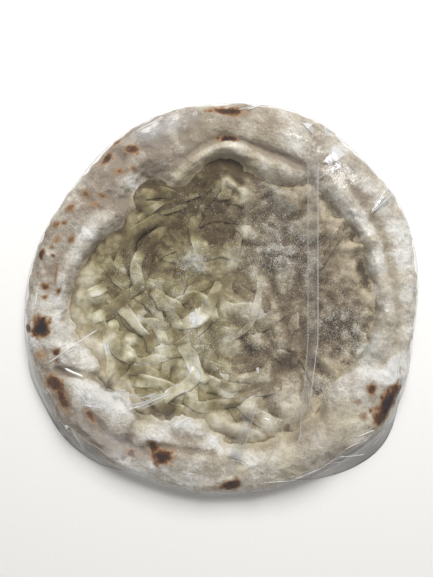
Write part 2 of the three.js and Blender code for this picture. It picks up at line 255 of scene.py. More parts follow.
# Scorch spots, at the photo's pixels: [x, y, length, width, lean, burn], length and width in millimetres
SCORCHES = [
    (228, 111, 28, 8, -4, 0.85), (228, 139, 15, 5, -5, 0.95), (132, 149, 13, 8, 8, 0.74),
    (108, 158, 13, 8, 42, 0.76), (117, 142, 10, 5, 30, 0.66), (120, 171, 8, 6, 30, 0.54),
    (133, 168, 7, 5, 0, 0.52), (86, 194, 10, 7, -20, 0.54), (102, 196, 9, 5, 0, 0.52),
    (71, 207, 10, 8, 40, 0.56), (64, 223, 7, 5, 0, 0.54), (56, 224, 8, 6, 0, 0.54),
    (71, 239, 8, 5, 60, 0.52), (57, 240, 9, 6, 70, 0.46), (94, 204, 12, 9, 20, 0.36),
    (41, 254, 9, 5, 80, 0.8), (53, 256, 4, 3, 0, 0.65), (52, 247, 4, 3, 0, 0.55), (38, 273, 4, 3, 0, 0.5),
    (56, 274, 17, 3, 86, 0.5), (45, 287, 6, 5, 0, 0.75), (59, 291, 6, 4, 60, 0.65),
    (45, 297, 5, 4, 0, 0.6), (41, 328, 14, 14, 0, 1.15), (28, 328, 6, 7, 90, 0.95),
    (56, 352, 8, 5, 20, 0.8), (57, 361, 5, 4, 0, 0.6), (40, 355, 14, 11, 0, 0.36),
    (54, 384, 16, 10, -50, 0.8), (62, 398, 22, 9, -62, 0.68), (91, 417, 12, 5, -62, 0.66),
    (131, 453, 7, 5, 0, 0.74), (163, 457, 14, 12, 0, 0.88), (154, 447, 11, 7, -50, 0.8),
    (230, 485, 15, 8, 10, 0.85), (372, 389, 9, 7, 40, 0.75), (388, 404, 34, 12, 56, 1.0),
    (379, 418, 14, 12, 50, 0.75), (363, 417, 8, 6, 0, 0.4), (358, 401, 6, 5, 0, 0.36),
]
# How far a scorch reaches down a slope, where it fades, and its ragged outline: [size, share]
SCORCH_DEPTH = 14
SCORCH_FADE = (0.05, 0.85)
SCORCH_RAGS = [(6, 0.45), (2.5, 0.25)]

# Painted shade in the hollows of the dough's upper face: their reach, their limits and the darkening for a
# millimetre
DOUGH_HOLLOW_REACH = 7
DOUGH_HOLLOW_LIMITS = (-0.8, 2.5)
DOUGH_HOLLOW_SHADE = 0.17
UPPER_FACE_DEPTH = (-3, -1)
UPPER_FACE_HEIGHT = (9, 14)

# Onion strips that the photo shows one by one: [x, y, heading, turn along the strip, length]
MAIN_STRIPS = [
    (-44, 54, 184, 125, 62), (-40, 43, 186, 122, 56), (-37, 35, -30, 62, 36), (-74, 50, 24, -8, 30),
    (-54, -2, -36, 4, 30), (-88, 23, -49, -12, 30), (-99, -26, 30, 14, 50), (-95, -31, -90, 14, 26),
    (-78, -30, -88, 60, 30), (-68, -57, -24, 16, 34), (-64, -66, -10, -26, 40), (-30, -40, -62, 10, 36),
    (-4, -61, -72, 66, 42), (-44, -80, 18, 40, 36), (-7, 90, -44, 8, 30),
]
COVE_STRIPS = [(-70, 72, 8, -20, 34), (-60, 72, 10, -30, 30)]

# Onion strips that are strewn between them, fewer on the dry side
STREWN_STRIPS = 150
STREWN_REACH = 96
STREWN_LENGTHS = (24, 56)
STREWN_TURN = 80
STREWN_SPREAD = 35
STREWN_HEADING = -50
STREWN_ROUND_FROM = 5
STREWN_DRY_FROM = 10
STREWN_DRY_SHARE = 0.12
GOLDEN_TURN = math.radians(137.5)
STRIP_SEED = 20

# A strip's mesh and section, how far its lower skin bites into the ground and flares out at its foot
STRIP_STEPS = 26
STRIP_ROWS = 9
STRIP_THICKNESS = 1.1
STRIP_EDGE_THINNING = 0.6
STRIP_BITE = 0.4
STRIP_FLARE = 0.8
STRIP_LUMPS = [(9, 1.0), (3.5, 0.3)]

# Widths of the main and the strewn strips, as shares of the set width, and how high they lie
MAIN_WIDTHS = (1.0, 1.25)
STREWN_WIDTHS = (0.6, 1.3)
MAIN_RISE = 0.75
STREWN_RISE = 0.5

# A strip tapers, swells and wanders, as shares of its width, and its ends droop over a share of its length
STRIP_END_WIDTH = 0.55
STRIP_END_START = 0.03
STRIP_SWELL = 0.18
STRIP_WANDER = 0.12
STRIP_END_REACH = 0.08
STRIP_END_DROOP = 1.6

# Turns of the waves along a strip, from the least to the most
SWELL_TURNS = (0.6, 1.4)
WANDER_TURNS = (0.8, 1.8)
RIPPLE_TURNS = (1, 2.4)
TWIST_TURNS = (0.4, 1.1)
SHADE_TURNS = (0.8, 1.8)

# A strip follows the ground and its own smoothed seat, and is left out where the ground is too high
STRIP_GROUND_LIMIT = 15
STRIP_SEAT_SMOOTHING = 1.6
STRIP_SEAT_SHARE = 0.45
STRIP_SEAT_DROP = 1.0
STRIP_ARCHES = (0.2, 0.6)
STRIP_RIPPLE = 0.3
STRIP_TWISTS = (0.7, 2.2)

# Tone of a strip: its pale cut edge, its own shade and the waves of shade along it
STRIP_EDGE_PALE = 0.16
STRIP_EDGE_SHARPNESS = 6
STRIP_SHADES = (-0.24, 0.1)
STRIP_SHADE_WAVE = 0.12
FIBRE_SPACING = 1.7
FIBRE_START = 40

# Paler (above 0) and darker spots of the onion, at the photo's pixels: [x, y, radius in millimetres, shift];
# partly the onion's own tone, partly painted shadow under the top lip
ONION_TONES_AND_SHADE = [
    (140, 240, 30, -0.14), (215, 200, 36, -0.16), (140, 360, 44, 0.2), (230, 400, 44, 0.2),
    (240, 300, 30, 0.12), (330, 250, 34, -0.06), (300, 330, 34, -0.06), (290, 394, 18, 0.2),
    (95, 310, 14, 0.2), (232, 184, 12, 0.2), (196, 264, 12, 0.15), (258, 352, 12, -0.2),
    (284, 368, 12, -0.2), (170, 186, 12, -0.25), (184, 200, 12, -0.15), (280, 242, 18, -0.12),
    (220, 234, 16, -0.2), (240, 400, 12, -0.15), (90, 322, 12, 0.2), (330, 206, 12, 0.2),
    (86, 277, 7, 0.22), (87, 340, 7, 0.2), (103, 347, 6, 0.22), (130, 342, 7, 0.22), (160, 350, 6, 0.2),
    (195, 322, 6, 0.22), (208, 312, 6, 0.22), (160, 292, 5, 0.2), (137, 322, 6, 0.25),
    (225, 397, 6, 0.25), (247, 400, 7, 0.35), (225, 257, 8, 0.35), (250, 232, 7, 0.3), (255, 312, 7, 0.3),
    (262, 328, 6, 0.3), (147, 262, 6, -0.25), (120, 300, 6, -0.2), (132, 370, 6, -0.2),
    (175, 407, 7, -0.3), (215, 368, 6, -0.2), (215, 405, 6, -0.2), (145, 190, 10, -0.1),
    (196, 186, 8, -0.25), (216, 172, 8, -0.35), (240, 172, 8, -0.35), (258, 180, 8, -0.3),
    (352, 300, 16, -0.12), (330, 330, 18, -0.12), (228, 182, 8, 0.2), (242, 193, 7, 0.16),
    (256, 290, 9, -0.2), (282, 256, 8, -0.2), (350, 326, 13, -0.14), (184, 400, 8, 0.25),
    (184, 302, 14, -0.12), (232, 398, 9, -0.16), (317, 384, 6, 0.4), (232, 242, 14, -0.14),
    (112, 302, 8, 0.2), (232, 326, 10, -0.16), (328, 326, 9, -0.12), (328, 230, 9, -0.12),
    (328, 374, 9, -0.15), (88, 326, 8, -0.15), (231, 174, 8, -0.4), (110, 225, 8, -0.12),
    (150, 250, 12, -0.1), (112, 254, 8, -0.14), (160, 302, 8, -0.18), (208, 302, 9, -0.14),
    (112, 328, 8, -0.16), (160, 374, 8, -0.2), (112, 374, 7, -0.12), (304, 230, 8, -0.12),
    (280, 254, 9, -0.12), (208, 254, 9, -0.12), (236, 200, 9, 0.16), (136, 230, 8, 0.15),
    (328, 254, 8, 0.12), (215, 420, 7, 0.16), (245, 432, 7, 0.2), (276, 437, 7, 0.16),
]

# The onion's bed between the strips: its mesh, its level, its bank against the rim and its tucked edge
BED_SEGMENTS = 600
BED_RINGS = 118
BED_LEVEL = 10
BED_BANK = 1.6
BED_BOTTOM = 4
BED_TUCK = 6
BED_COVER = 0.5
BED_EDGE_RADII = (60, 122)
BED_EDGE_SMOOTHING = 8
BANK_FOOT = 30
BANK_TOP = 6

# Uneven waves and soft pillows of the bed: [size, height], with lower pillows on the oily side
BED_WAVES = [(30, 2.4), (6, 0.9), (2.5, 0.3)]
BED_PILLOWS = [(22, 3.6), (12, 1.5)]
PILLOW_SIDE = (-30, 20)
OILY_PILLOWS = 0.5

# Where the onion is banked higher against the rim: [bearing, spread, height]
BED_BANKS = [(8, 36, 2.2), (300, 16, 1.0)]

# Where a groove parts the onion from the rim: [bearing, spread, depth]
BED_GROOVES = [(158, 32, 0.8), (90, 26, 1.6)]

# The onion thins out towards the rim over this width, and over more at some bearings: [bearing, spread, more]
THIN_WIDTH = 16
THIN_STRETCHES = [(12, 40, 22)]

# Where the onion always covers the dough: the open well's radius, and a low dome's pixel and radius
OPEN_WELL = 84
DOME_MIDDLE = (290, 394)
DOME_RADIUS = 23

# The onion is oily on the left and dried on the right: how far, and between which places along X
DRY_SHARE = 0.9
DRY_SIDE = (-20, 45)

# Painted shade in the onion's hollows: [reach, darkening for a millimetre], counted up to a ceiling and within
# limits
ONION_HOLLOW_SHADES = [(9, 0.08), (3, 0.07)]
ONION_HOLLOW_LIMITS = (-1.5, 2.5)
ONION_CEILING = 14

# Patches of frost, at the photo's pixels: [x, y, radius in millimetres, share of the crystals]
FROST_PATCHES = [
    (277, 232, 24, 0.26), (262, 260, 20, 0.12), (300, 262, 22, 0.1), (345, 330, 20, 0.12),
    (361, 352, 8, 0.1), (318, 388, 9, 0.05), (192, 263, 11, 0.1), (270, 190, 12, 0.05),
    (330, 200, 12, 0.04), (240, 330, 26, 0.07), (320, 300, 26, 0.04), (165, 305, 22, 0.06),
    (205, 345, 22, 0.06), (205, 205, 20, 0.05), (130, 270, 16, 0.03),
]
# Reach over which the humps that hold frost are measured
FROST_REACH = 8

# The veil of frost: its strength, its clumps [size, share], and the rise of the humps that it lies on
FROST_VEIL = 0.5
FROST_FULL_SHARE = 0.2
FROST_CLUMPS = [(8, 1.0), (3, 0.4)]
FROST_HUMPS = (-0.6, 1.4)
FROST_IN_HOLLOWS = 0.4
FROST_KEPT_OFF = 0.25

# Loose frost crystals: how many, how they are strewn, and their sizes, stretch and shape
FROST_CRYSTALS = 60000
FROST_SEED = 7
CRYSTAL_SPREAD = 0.62
CRYSTAL_LIMIT = 125
CRYSTAL_HUMPS = (-0.6, 1.2)
CRYSTALS_IN_HOLLOWS = 0.25
CRYSTAL_CLUMP_SIZE = 5
CRYSTAL_CLUMPS = (-0.4, 0.5)
CRYSTALS_BETWEEN_CLUMPS = 0.3
CRYSTAL_SIZES = (0.2, 0.46)
CRYSTAL_STRETCH = (0.6, 1.4)
CRYSTAL_CORNERS = np.array([(1, 0, -0.5), (-0.5, 0.87, -0.5), (-0.5, -0.87, -0.5), (0, 0, 1)])
CRYSTAL_SIDES = np.array([(0, 1, 3), (1, 2, 3), (2, 0, 3), (1, 0, 2)])

# Film: clearance over what it covers, and the grid on which it is drawn taut from a flat start
FILM_CLEARANCE = 0.2
FILM_PITCH = 1.5
FILM_ROUNDS = 900
FILM_START_HEIGHT = 20
FILM_START_RADIUS = 130
SAG_RADIUS = 100

# Rings of the film's mesh, and the smoothing round them in steps of the mesh
FILM_SEGMENTS = 600
FILM_WALL_RINGS = 8
FILM_SKIRT_RINGS = 8
FILM_TOP_RINGS = 120
FILM_SMOOTHING = 3

# The film's underside and skirt: their heights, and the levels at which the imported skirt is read
LIP_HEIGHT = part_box("film_wrap")[1].z / MM
UNDERSIDE_HEIGHT = 0.05
UNDERSIDE_INSET = 1.5
SKIRT_FOOT = 0.5
SKIRT_LEVEL = 1.0
SKIRT_CURVE = 1.3
LIP_DROP = 0.3

# The skirt's pleats: depth, width in steps of the mesh, and the wing's width at which they are deepest
PLEAT_SEED = 3
PLEAT_DEPTH = 1.4
PLEAT_SMOOTHING = 2.5
PLEAT_LEAST = 0.2
PLEAT_WING = 8
WING_ALLOWANCE = 3

# Painted shade on the skirt's wings: grey that stands in for the shade and the dark ground seen through them,
# at [bearing, spread], growing with the wing's width and fading at the top
SHADED_WINGS = [(222, 20), (312, 26)]
WING_SHADE_GREY = 0.78
WING_SHADE_WIDTHS = (2, 7)
WING_SHADE_FADE = (0.75, 1.0)

# Where the film's top sheet joins its wall: inside the dough's outline at a height above its widest line
JOIN_HEIGHT = 4
JOIN_INSET = 3
JOIN_SMOOTHING = 2
WALL_BELOW_CROWN = 1.0

# Creases, seams and overlaps of the film, along lines of the photo's pixels: (line, width, height, milkiness);
# the milkiness is partly that of creased and doubled film and partly painted glints
FILM_CREASES = [
    ([(308, 134), (308, 200), (308, 270), (308, 340), (304, 391), (300, 436), (289, 481)], 0.55, 0.2, 0.42),
    ([(318, 134), (318, 200), (318, 270), (318, 340), (311, 394), (306, 430)], 0.55, 0.2, 0.55),
    ([(313, 140), (313, 270), (313, 340), (307, 394), (302, 430)], 7.2, 0.1, 0.02),
    ([(252, 402), (243, 437), (227, 477)], 8.0, 0.1, 0.12),
    ([(257, 402), (248, 437), (232, 478)], 0.5, 0.2, 0.4),
    ([(100, 328), (74, 345), (46, 365)], 0.9, 0.3, 0.85),
    ([(97, 334), (74, 349), (50, 367)], 0.5, 0.2, 0.4),
    ([(64, 368), (72, 372), (84, 377)], 1.5, 0.4, 0.95),
    ([(37, 291), (36, 298), (35, 306)], 1.2, 0.4, 0.75),
    ([(283, 428), (272, 452), (262, 474)], 0.5, 0.2, 0.4),
    ([(262, 483), (290, 481), (320, 469), (336, 458)], 0.8, 0.3, 0.6),
    ([(404, 338), (400, 360), (396, 384)], 0.7, 0.3, 0.55),
    ([(409, 341), (405, 362), (400, 384)], 0.5, 0.3, 0.45),
    ([(412, 352), (407, 374), (403, 388)], 0.5, 0.3, 0.45),
    ([(317, 180), (325, 174), (333, 169)], 0.7, 0.3, 0.45),
    ([(236, 110), (252, 107), (268, 104)], 0.9, 0.3, 0.6),
    ([(262, 125), (272, 131)], 0.5, 0.2, 0.4),
    ([(325, 122), (326, 140), (325, 158)], 0.5, 0.2, 0.45),
    ([(336, 140), (352, 145)], 0.5, 0.2, 0.45),
    ([(116, 392), (140, 398), (174, 393)], 0.7, 0.3, 0.45),
    ([(128, 406), (146, 402), (160, 396)], 1.0, 0.4, 0.45),
    ([(174, 429), (184, 421), (192, 417)], 1.6, 0.4, 0.6),
    ([(200, 306), (198, 315), (197, 324)], 1.0, 0.4, 0.9),
    ([(340, 166), (346, 168), (358, 174)], 0.7, 0.3, 0.5),
    ([(346, 160), (352, 165), (357, 173)], 0.6, 0.3, 0.6),
    ([(72, 430), (78, 440), (85, 449)], 0.7, 0.3, 0.85),
    ([(338, 457), (352, 456), (366, 454)], 0.8, 0.3, 0.9),
    ([(358, 437), (367, 433), (375, 430)], 0.7, 0.3, 0.8),
    ([(344, 450), (356, 444), (368, 440)], 0.5, 0.3, 0.7),
    ([(372, 446), (380, 437), (386, 428)], 0.6, 0.3, 0.75),
    ([(326, 464), (340, 462), (354, 458)], 0.5, 0.3, 0.6),
    ([(246, 110), (258, 106), (270, 103)], 0.9, 0.3, 0.8),
    ([(80, 394), (86, 402), (96, 408)], 0.8, 0.3, 0.9),
    ([(86, 398), (92, 400), (99, 401)], 0.6, 0.3, 0.6),
    ([(113, 389), (124, 396), (134, 409)], 0.6, 0.3, 0.5),
    ([(134, 409), (150, 402), (172, 393)], 0.7, 0.3, 0.8),
    ([(140, 410), (158, 402), (172, 394)], 0.5, 0.3, 0.5),
    ([(80, 395), (86, 400), (85, 406)], 0.7, 0.3, 0.95),
    ([(86, 394), (91, 397), (95, 399)], 0.6, 0.3, 0.9),
    ([(82, 405), (92, 407), (102, 408)], 0.6, 0.3, 0.8),
    ([(92, 402), (94, 405), (95, 407)], 0.6, 0.3, 0.9),
    ([(117, 392), (122, 390), (126, 390)], 0.7, 0.3, 0.95),
    ([(120, 397), (130, 395), (140, 395)], 0.5, 0.3, 0.7),
    ([(127, 410), (137, 407), (145, 405)], 0.7, 0.3, 0.9),
    ([(122, 394), (126, 402), (134, 409)], 0.5, 0.3, 0.6),
    ([(170, 425), (180, 422), (190, 417)], 0.7, 0.3, 0.85),
    ([(175, 429), (180, 427), (185, 425)], 0.5, 0.3, 0.8),
    ([(57, 430), (62, 434), (66, 436)], 0.7, 0.3, 0.9),
    ([(66, 425), (68, 430), (70, 435)], 0.6, 0.3, 0.85),
    ([(371, 213), (379, 200), (387, 188)], 0.6, 0.3, 0.95),
    ([(371, 213), (383, 203), (394, 193)], 0.6, 0.3, 0.9),
    ([(388, 187), (393, 185), (398, 196)], 0.5, 0.3, 0.7),
    ([(334, 145), (339, 150), (345, 155)], 0.5, 0.3, 0.9),
    ([(334, 145), (331, 153), (324, 162)], 0.5, 0.3, 0.9),
    ([(323, 119), (325, 128), (325, 136)], 0.5, 0.3, 0.8),
]
# A crease's steps in pixels, how far its foot dips into the film, and how it tapers to its tips
CREASE_STEP = 2.0
CREASE_FOOT = 0.05
CREASE_TIP = 0.15
CREASE_TAPER = 8

# Painted sheen of the film: milky veils that stand in for the window's reflection, at the photo's pixels: [x,
# y, radius in millimetres, strength of the sheen]
FILM_SHEEN_VEILS = [
    (148, 130, 12, 0.5), (172, 122, 10, 0.42), (194, 116, 8, 0.26), (104, 398, 14, 0.24),
    (172, 424, 10, 0.2), (118, 462, 12, 0.16), (302, 130, 9, 0.22), (62, 330, 9, 0.2),
]

# Slack film that stands in facets, milky and partly painted bright as glints: (corners at the photo's pixels,
# milkiness), each edge laid on in steps
FILM_FACETS = [
    ([(302, 123), (313, 124), (308, 129)], 0.7),
    ([(306, 128), (312, 126), (313, 134)], 0.5),
    ([(323, 119), (327, 121), (332, 136), (325, 136)], 0.5),
    ([(334, 145), (345, 155), (336, 161), (330, 160)], 0.7),
    ([(333, 150), (337, 159), (331, 164), (323, 162)], 0.5),
    ([(344, 156), (332, 168), (326, 176), (340, 168)], 0.25),
    ([(371, 213), (387, 188), (393, 192)], 0.45),
    ([(371, 213), (393, 194), (399, 199)], 0.3),
    ([(388, 187), (395, 183), (399, 197), (391, 196)], 0.35),
    ([(227, 455), (236, 450), (247, 463)], 0.4),
    ([(229, 459), (240, 461), (251, 466)], 0.3),
    ([(262, 417), (272, 420), (271, 423)], 0.5),
    ([(250, 428), (261, 433), (259, 434)], 0.5),
    ([(256, 368), (259, 367), (259, 373), (257, 373)], 0.6),
    ([(184, 391), (190, 389), (187, 393)], 0.5),
    ([(80, 396), (86, 394), (88, 404), (83, 407)], 0.4),
    ([(88, 396), (91, 395), (90, 402)], 0.8),
    ([(84, 404), (96, 403), (92, 408)], 0.35),
    ([(118, 390), (127, 389), (123, 397)], 0.35),
    ([(112, 393), (118, 391), (116, 399)], 0.5),
    ([(128, 405), (142, 402), (160, 394), (144, 409)], 0.25),
    ([(144, 396), (158, 392), (150, 398)], 0.45),
    ([(64, 424), (70, 427), (66, 429)], 0.6),
]
FACET_RISE = 0.5
FACET_STEPS = 4


def linear(code):
    """Linear colour of an sRGB hex code."""
    shares = [int(code[i:i + 2], 16) / 255 for i in (1, 3, 5)]
    return [s / 12.92 if s <= 0.04045 else ((s + 0.055) / 1.055) ** 2.4 for s in shares]


def hill(distance, spread):
    """A smooth hill: 1 at its middle, fading out over its spread."""
    return np.exp(-(np.asarray(distance) / spread) ** 2)


def ease(value, low, high):
    """0 below low, 1 above high, smooth between."""
    share = np.clip((np.asarray(value) - low) / (high - low), 0, 1)
    return share * share * (3 - 2 * share)


def turn_between(angle, other):
    """The shorter way round between two angles, in degrees."""
    return (np.asarray(angle) - other + 180) % 360 - 180


def angles_round(count):
    """Even angles round the base, in radians."""
    return np.arange(count) * 2 * math.pi / count


def stretches_round(bearing, stretches):
    """Sum of what the stretches of the rim, [bearing, spread, amount], give at each bearing."""
    return sum(amount * hill(turn_between(bearing, middle), spread) for middle, spread, amount in stretches)


def way_to(azimuth, elevation):
    """The way from the base to an azimuth, counted from +X, and an elevation, in degrees."""
    flat = math.cos(math.radians(elevation))
    turn = math.radians(azimuth)
    return Vector((flat * math.cos(turn), flat * math.sin(turn), math.sin(math.radians(elevation))))


def add_node(tree, kind, settings, output=0):
    """Adds a shader node, sets or links its properties and sockets, and gives back one of its outputs."""
    node = tree.nodes.new("ShaderNode" + kind)
    for key, value in settings.items():
        if key == "stops":
            while len(node.color_ramp.elements) < len(value):
                node.color_ramp.elements.new(0.5)
            for element, (place, colour) in zip(node.color_ramp.elements, value):
                element.position = place
                element.color = (*colour, 1)
        elif isinstance(value, bpy.types.NodeSocket):
            tree.links.new(value, node.inputs[key])
        elif isinstance(key, str) and key in node.bl_rna.properties:
            setattr(node, key, value)
        else:
            node.inputs[key].default_value = value
    return node.outputs[output] if len(node.outputs) else None


def new_material(name, noises, attributes=()):
    """A material without a surface yet, its node tree, and its noises and attributes by name."""
    material = bpy.data.materials.new(name)
    material.use_nodes = True
    tree = material.node_tree
    tree.nodes.clear()
    place = add_node(tree, "TexCoord", {}, "Object")
    fields = {}
    for kind, (size, detail, roughness) in noises.items():
        settings = {"Vector": place, "Scale": 1 / (size * MM), "Detail": detail, "Roughness": roughness}
        fields[kind] = add_node(tree, "TexNoise", settings)
    for kind in attributes:
        fields[kind] = add_node(tree, "Attribute", {"attribute_name": kind}, "Fac")
    return material, tree, fields


def vertices_of(piece):
    """A piece's vertices in millimetres."""
    flat = np.empty(len(piece.data.vertices) * 3)
    piece.data.vertices.foreach_get("co", flat)
    return flat.reshape(-1, 3) / MM


def set_vertices(piece, places):
    """Moves a piece's vertices to places in millimetres."""
    piece.data.vertices.foreach_set("co", (np.asarray(places) * MM).ravel())
    piece.data.update()


def set_attribute(piece, name, values):
    """Stores one number for each vertex, for a material to read."""
    layer = piece.data.attributes.get(name) or piece.data.attributes.new(name, "FLOAT", "POINT")
    layer.data.foreach_set("value", np.asarray(values, dtype=np.float32))


def attribute_of(piece, name):
    """The numbers stored for a piece's vertices."""
    values = np.empty(len(piece.data.vertices), dtype=np.float32)
    piece.data.attributes[name].data.foreach_get("value", values)
    return values


def tree_of(*names):
    """A search tree over the named pieces, in millimetres."""
    corners, faces, start = [], [], 0
    for name in names:
        mesh = bpy.data.objects[name].data
        mesh.calc_loop_triangles()
        flat = np.empty(len(mesh.loop_triangles) * 3, dtype=np.int32)
        mesh.loop_triangles.foreach_get("vertices", flat)
        places = vertices_of(bpy.data.objects[name])
        corners.append(places)
        faces.append(flat.reshape(-1, 3) + start)
        start += len(places)
    corners = np.concatenate(corners).tolist()
    return BVHTree.FromPolygons(corners, np.concatenate(faces).tolist(), all_triangles=True)


def heights(tree, x, y, missing=0.0):
    """Height of the tree's top below each (x, y), all in millimetres."""
    found = np.full(np.size(x), missing, dtype=float)
    down = Vector((0, 0, -1))
    for i, (px, py) in enumerate(zip(np.ravel(x), np.ravel(y))):
        hit = tree.ray_cast(Vector((px, py, RAY_HEIGHT)), down)[0]
        if hit is not None:
            found[i] = hit.z
    return found.reshape(np.shape(x))


def wall_radius(tree, angles, height):
    """Radius at which a level ray from outside meets the tree, at each angle."""
    found = np.zeros(len(angles))
    for i, (angle, level) in enumerate(zip(angles, np.broadcast_to(height, len(angles)))):
        out = Vector((math.cos(angle), math.sin(angle), 0))
        hit = tree.ray_cast(out * RAY_RADIUS + Vector((0, 0, level)), -out)[0]
        if hit is None:
            raise RuntimeError("the wall has no radius at this height")
        found[i] = math.hypot(hit.x, hit.y)
    return found


def photo_ray(x, y):
    """The camera's place and the way that it looks through the photo's pixel."""
    camera = bpy.context.scene.camera
    scale = camera.data.sensor_width / camera.data.lens / PHOTO_HEIGHT
    way = Vector(((x - PHOTO_WIDTH / 2) * scale, (PHOTO_HEIGHT / 2 - y) * scale, -1))
    return camera.matrix_world.translation / MM, (camera.matrix_world.to_3x3() @ way).normalized()


def photo_level(x, y, level):
    """Where the photo's pixel falls on a level plane, as (x, y)."""
    origin, way = photo_ray(x, y)
    return np.array(origin + way * ((level - origin.z) / way.z))[:2]


def photo_point(tree, x, y):
    """Where the photo's pixel falls on the tree, drawn in towards the middle if it just misses."""
    middle = np.array([PHOTO_WIDTH, PHOTO_HEIGHT]) / 2
    for share in np.linspace(1, PHOTO_DRAWN_IN, PHOTO_TRIES):
        hit = tree.ray_cast(*photo_ray(*(middle + (np.array([x, y]) - middle) * share)))[0]
        if hit is not None:
            return np.array(hit)
    raise RuntimeError("this pixel of the photo misses the base")


def away_from(places, middle):
    """Distance of each place from a middle, seen from above."""
    return np.hypot(places[:, 0] - middle[0], places[:, 1] - middle[1])


def along_line(line, marks, steps):
    """Points along a line whose corners stand at the marks, at each of the steps."""
    return np.column_stack([np.interp(steps, marks, np.array(line)[:, axis]) for axis in (0, 1)])


def away_from_line(x, y, line):
    """Distance of each (x, y) from a line of points."""
    away = np.full(np.shape(x), np.inf)
    for (ax, ay), (bx, by) in zip(line, line[1:]):
        run = (bx - ax) ** 2 + (by - ay) ** 2
        share = np.clip(((x - ax) * (bx - ax) + (y - ay) * (by - ay)) / run, 0, 1)
        away = np.minimum(away, np.hypot(x - ax - share * (bx - ax), y - ay - share * (by - ay)))
    return away


def oval_apart(x, y, middle, length, width, lean):
    """How far each (x, y) is from an oval's middle: 0.5 at its edge."""
    cosine, sine = math.cos(math.radians(lean)), math.sin(math.radians(lean))
    along = (x - middle[0]) * cosine + (y - middle[1]) * sine
    across = (y - middle[1]) * cosine - (x - middle[0]) * sine
    return np.hypot(along / length, across / width)


def well_relief(x, y):
    """Height of the onion's humps and hollows at each (x, y)."""
    rise = np.zeros(np.shape(x))
    for px, py, length, width, lean, height in WELL_FEATURES:
        middle = photo_level(px, py, BED_LEVEL)
        rise += FEATURE_SHARE * height * hill(oval_apart(x, y, middle, length, width, lean), 0.5)
    return rise


def uneven(places, size):
    """Uneven waves about one size across, from about -1 to 1, at each place."""
    return np.array([noise.fractal(Vector(place), 1, 2, 3) for place in places / size])


def pillows(places, size):
    """Soft pillows about one size across with creases between them, from about -0.5 to 1, at each place."""
    return np.array([2.2 * abs(noise.noise(Vector(place))) - 0.5 for place in places / size])


def layered(shape, places, layers):
    """Sum of uneven waves or pillows in layers, [size, height], at each place."""
    return sum(height * shape(places, size) for size, height in layers)


def smooth_round(values, steps):
    """Smooths each row right round the circle."""
    count = values.shape[-1]
    waves = np.fft.rfftfreq(count) * 2 * math.pi * steps
    return np.fft.irfft(np.fft.rfft(values) * np.exp(-waves ** 2 / 2), count)


def smooth_down(values, steps):
    """Smooths down the columns, keeping the ends."""
    reach = int(3 * steps)
    weights = np.exp(-(np.arange(-reach, reach + 1) / steps) ** 2 / 2)
    padded = np.pad(values, ((reach, reach), (0, 0)), mode="edge")
    rows = [weight * padded[i:i + len(values)] for i, weight in enumerate(weights)]
    return sum(rows) / weights.sum()


def new_primitive(add, name, **sizes):
    """Adds a mesh primitive with nothing else selected."""
    bpy.ops.object.select_all(action="DESELECT")
    add(**sizes)
    piece = bpy.context.object
    piece.name = name
    piece.data.name = name
    return piece


def turn_faces_out(weld=None):
    """Turns the active piece's faces outwards, after welding what is closer than the weld."""
    bpy.ops.object.mode_set(mode="EDIT")
    bpy.ops.mesh.select_all(action="SELECT")
    if weld:
        bpy.ops.mesh.remove_doubles(threshold=weld)
    bpy.ops.mesh.normals_make_consistent(inside=False)
    bpy.ops.object.mode_set(mode="OBJECT")


def turned_body(name, radius, height, **layers):
    """A closed round body, a grid rolled up and welded at its seam and its two poles.

    The rings' radius and height run from the underside's middle to the top's middle, and each layer of values
    is stored with them.
    """
    rings, segments = radius.shape
    piece = new_primitive(
        bpy.ops.mesh.primitive_grid_add, name, x_subdivisions=segments, y_subdivisions=rings - 1, size=2)
    flat = vertices_of(piece) * MM
    turn = np.rint((flat[:, 0] + 1) / 2 * segments).astype(int) % segments
    ring = np.rint((flat[:, 1] + 1) / 2 * (rings - 1)).astype(int)
    angle = angles_round(segments)[turn]
    reach = radius[ring, turn]
    set_vertices(piece, np.stack([reach * np.cos(angle), reach * np.sin(angle), height[ring, turn]], axis=1))
    for layer, values in layers.items():
        set_attribute(piece, layer, values[ring, turn])
    turn_faces_out(weld=0.001 * MM)
    bpy.ops.object.shade_smooth()
    return piece


def mesh_piece(name, places, faces):
    """A piece joined from arrays of places and faces."""
    mesh = bpy.data.meshes.new(name)
    mesh.from_pydata((np.asarray(places) * MM).tolist(), [], [list(face) for face in faces])
    mesh.validate()
    piece = bpy.data.objects.new(name, mesh)
    bpy.context.scene.collection.objects.link(piece)
    bpy.ops.object.select_all(action="DESELECT")
    piece.select_set(True)
    bpy.context.view_layer.objects.active = piece
    bpy.ops.object.shade_smooth()
    return piece


def add_lumps(piece, lumps, weights, direction="NORMAL"):
    """Raises uneven lumps on a piece, where its weights allow."""
    group = piece.vertex_groups.new(name="lumps")
    for level in range(1, 11):
        chosen = np.nonzero(np.rint(weights * 10) == level)[0]
        group.add(chosen.tolist(), level / 10, "REPLACE")
    for size, height in lumps:
        texture = bpy.data.textures.new(f"{piece.name} lumps {size} mm", "CLOUDS")
        texture.noise_scale = size * MM
        texture.noise_depth = 1
        modifier = piece.modifiers.new("lumps", "DISPLACE")
        modifier.texture = texture
        modifier.texture_coords = "LOCAL"
        modifier.direction = direction
        modifier.strength = height * MM
        modifier.mid_level = 0.5
        modifier.vertex_group = "lumps"
        bpy.ops.object.modifier_apply(modifier=modifier.name)
    piece.vertex_groups.clear()


def finish_piece(piece, material, node=None):
    """Gives a piece its material in a slot and its body, and hides the imported node that it stands for."""
    piece.data.materials.clear()
    piece.data.materials.append(material)
    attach(piece, "root")
    if node:
        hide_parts(node)


def dryness(places):
    """How far the onion is dried and frosted rather than oily, from 0 to 1."""
    return DRY_SHARE * ease(places[:, 0], *DRY_SIDE)


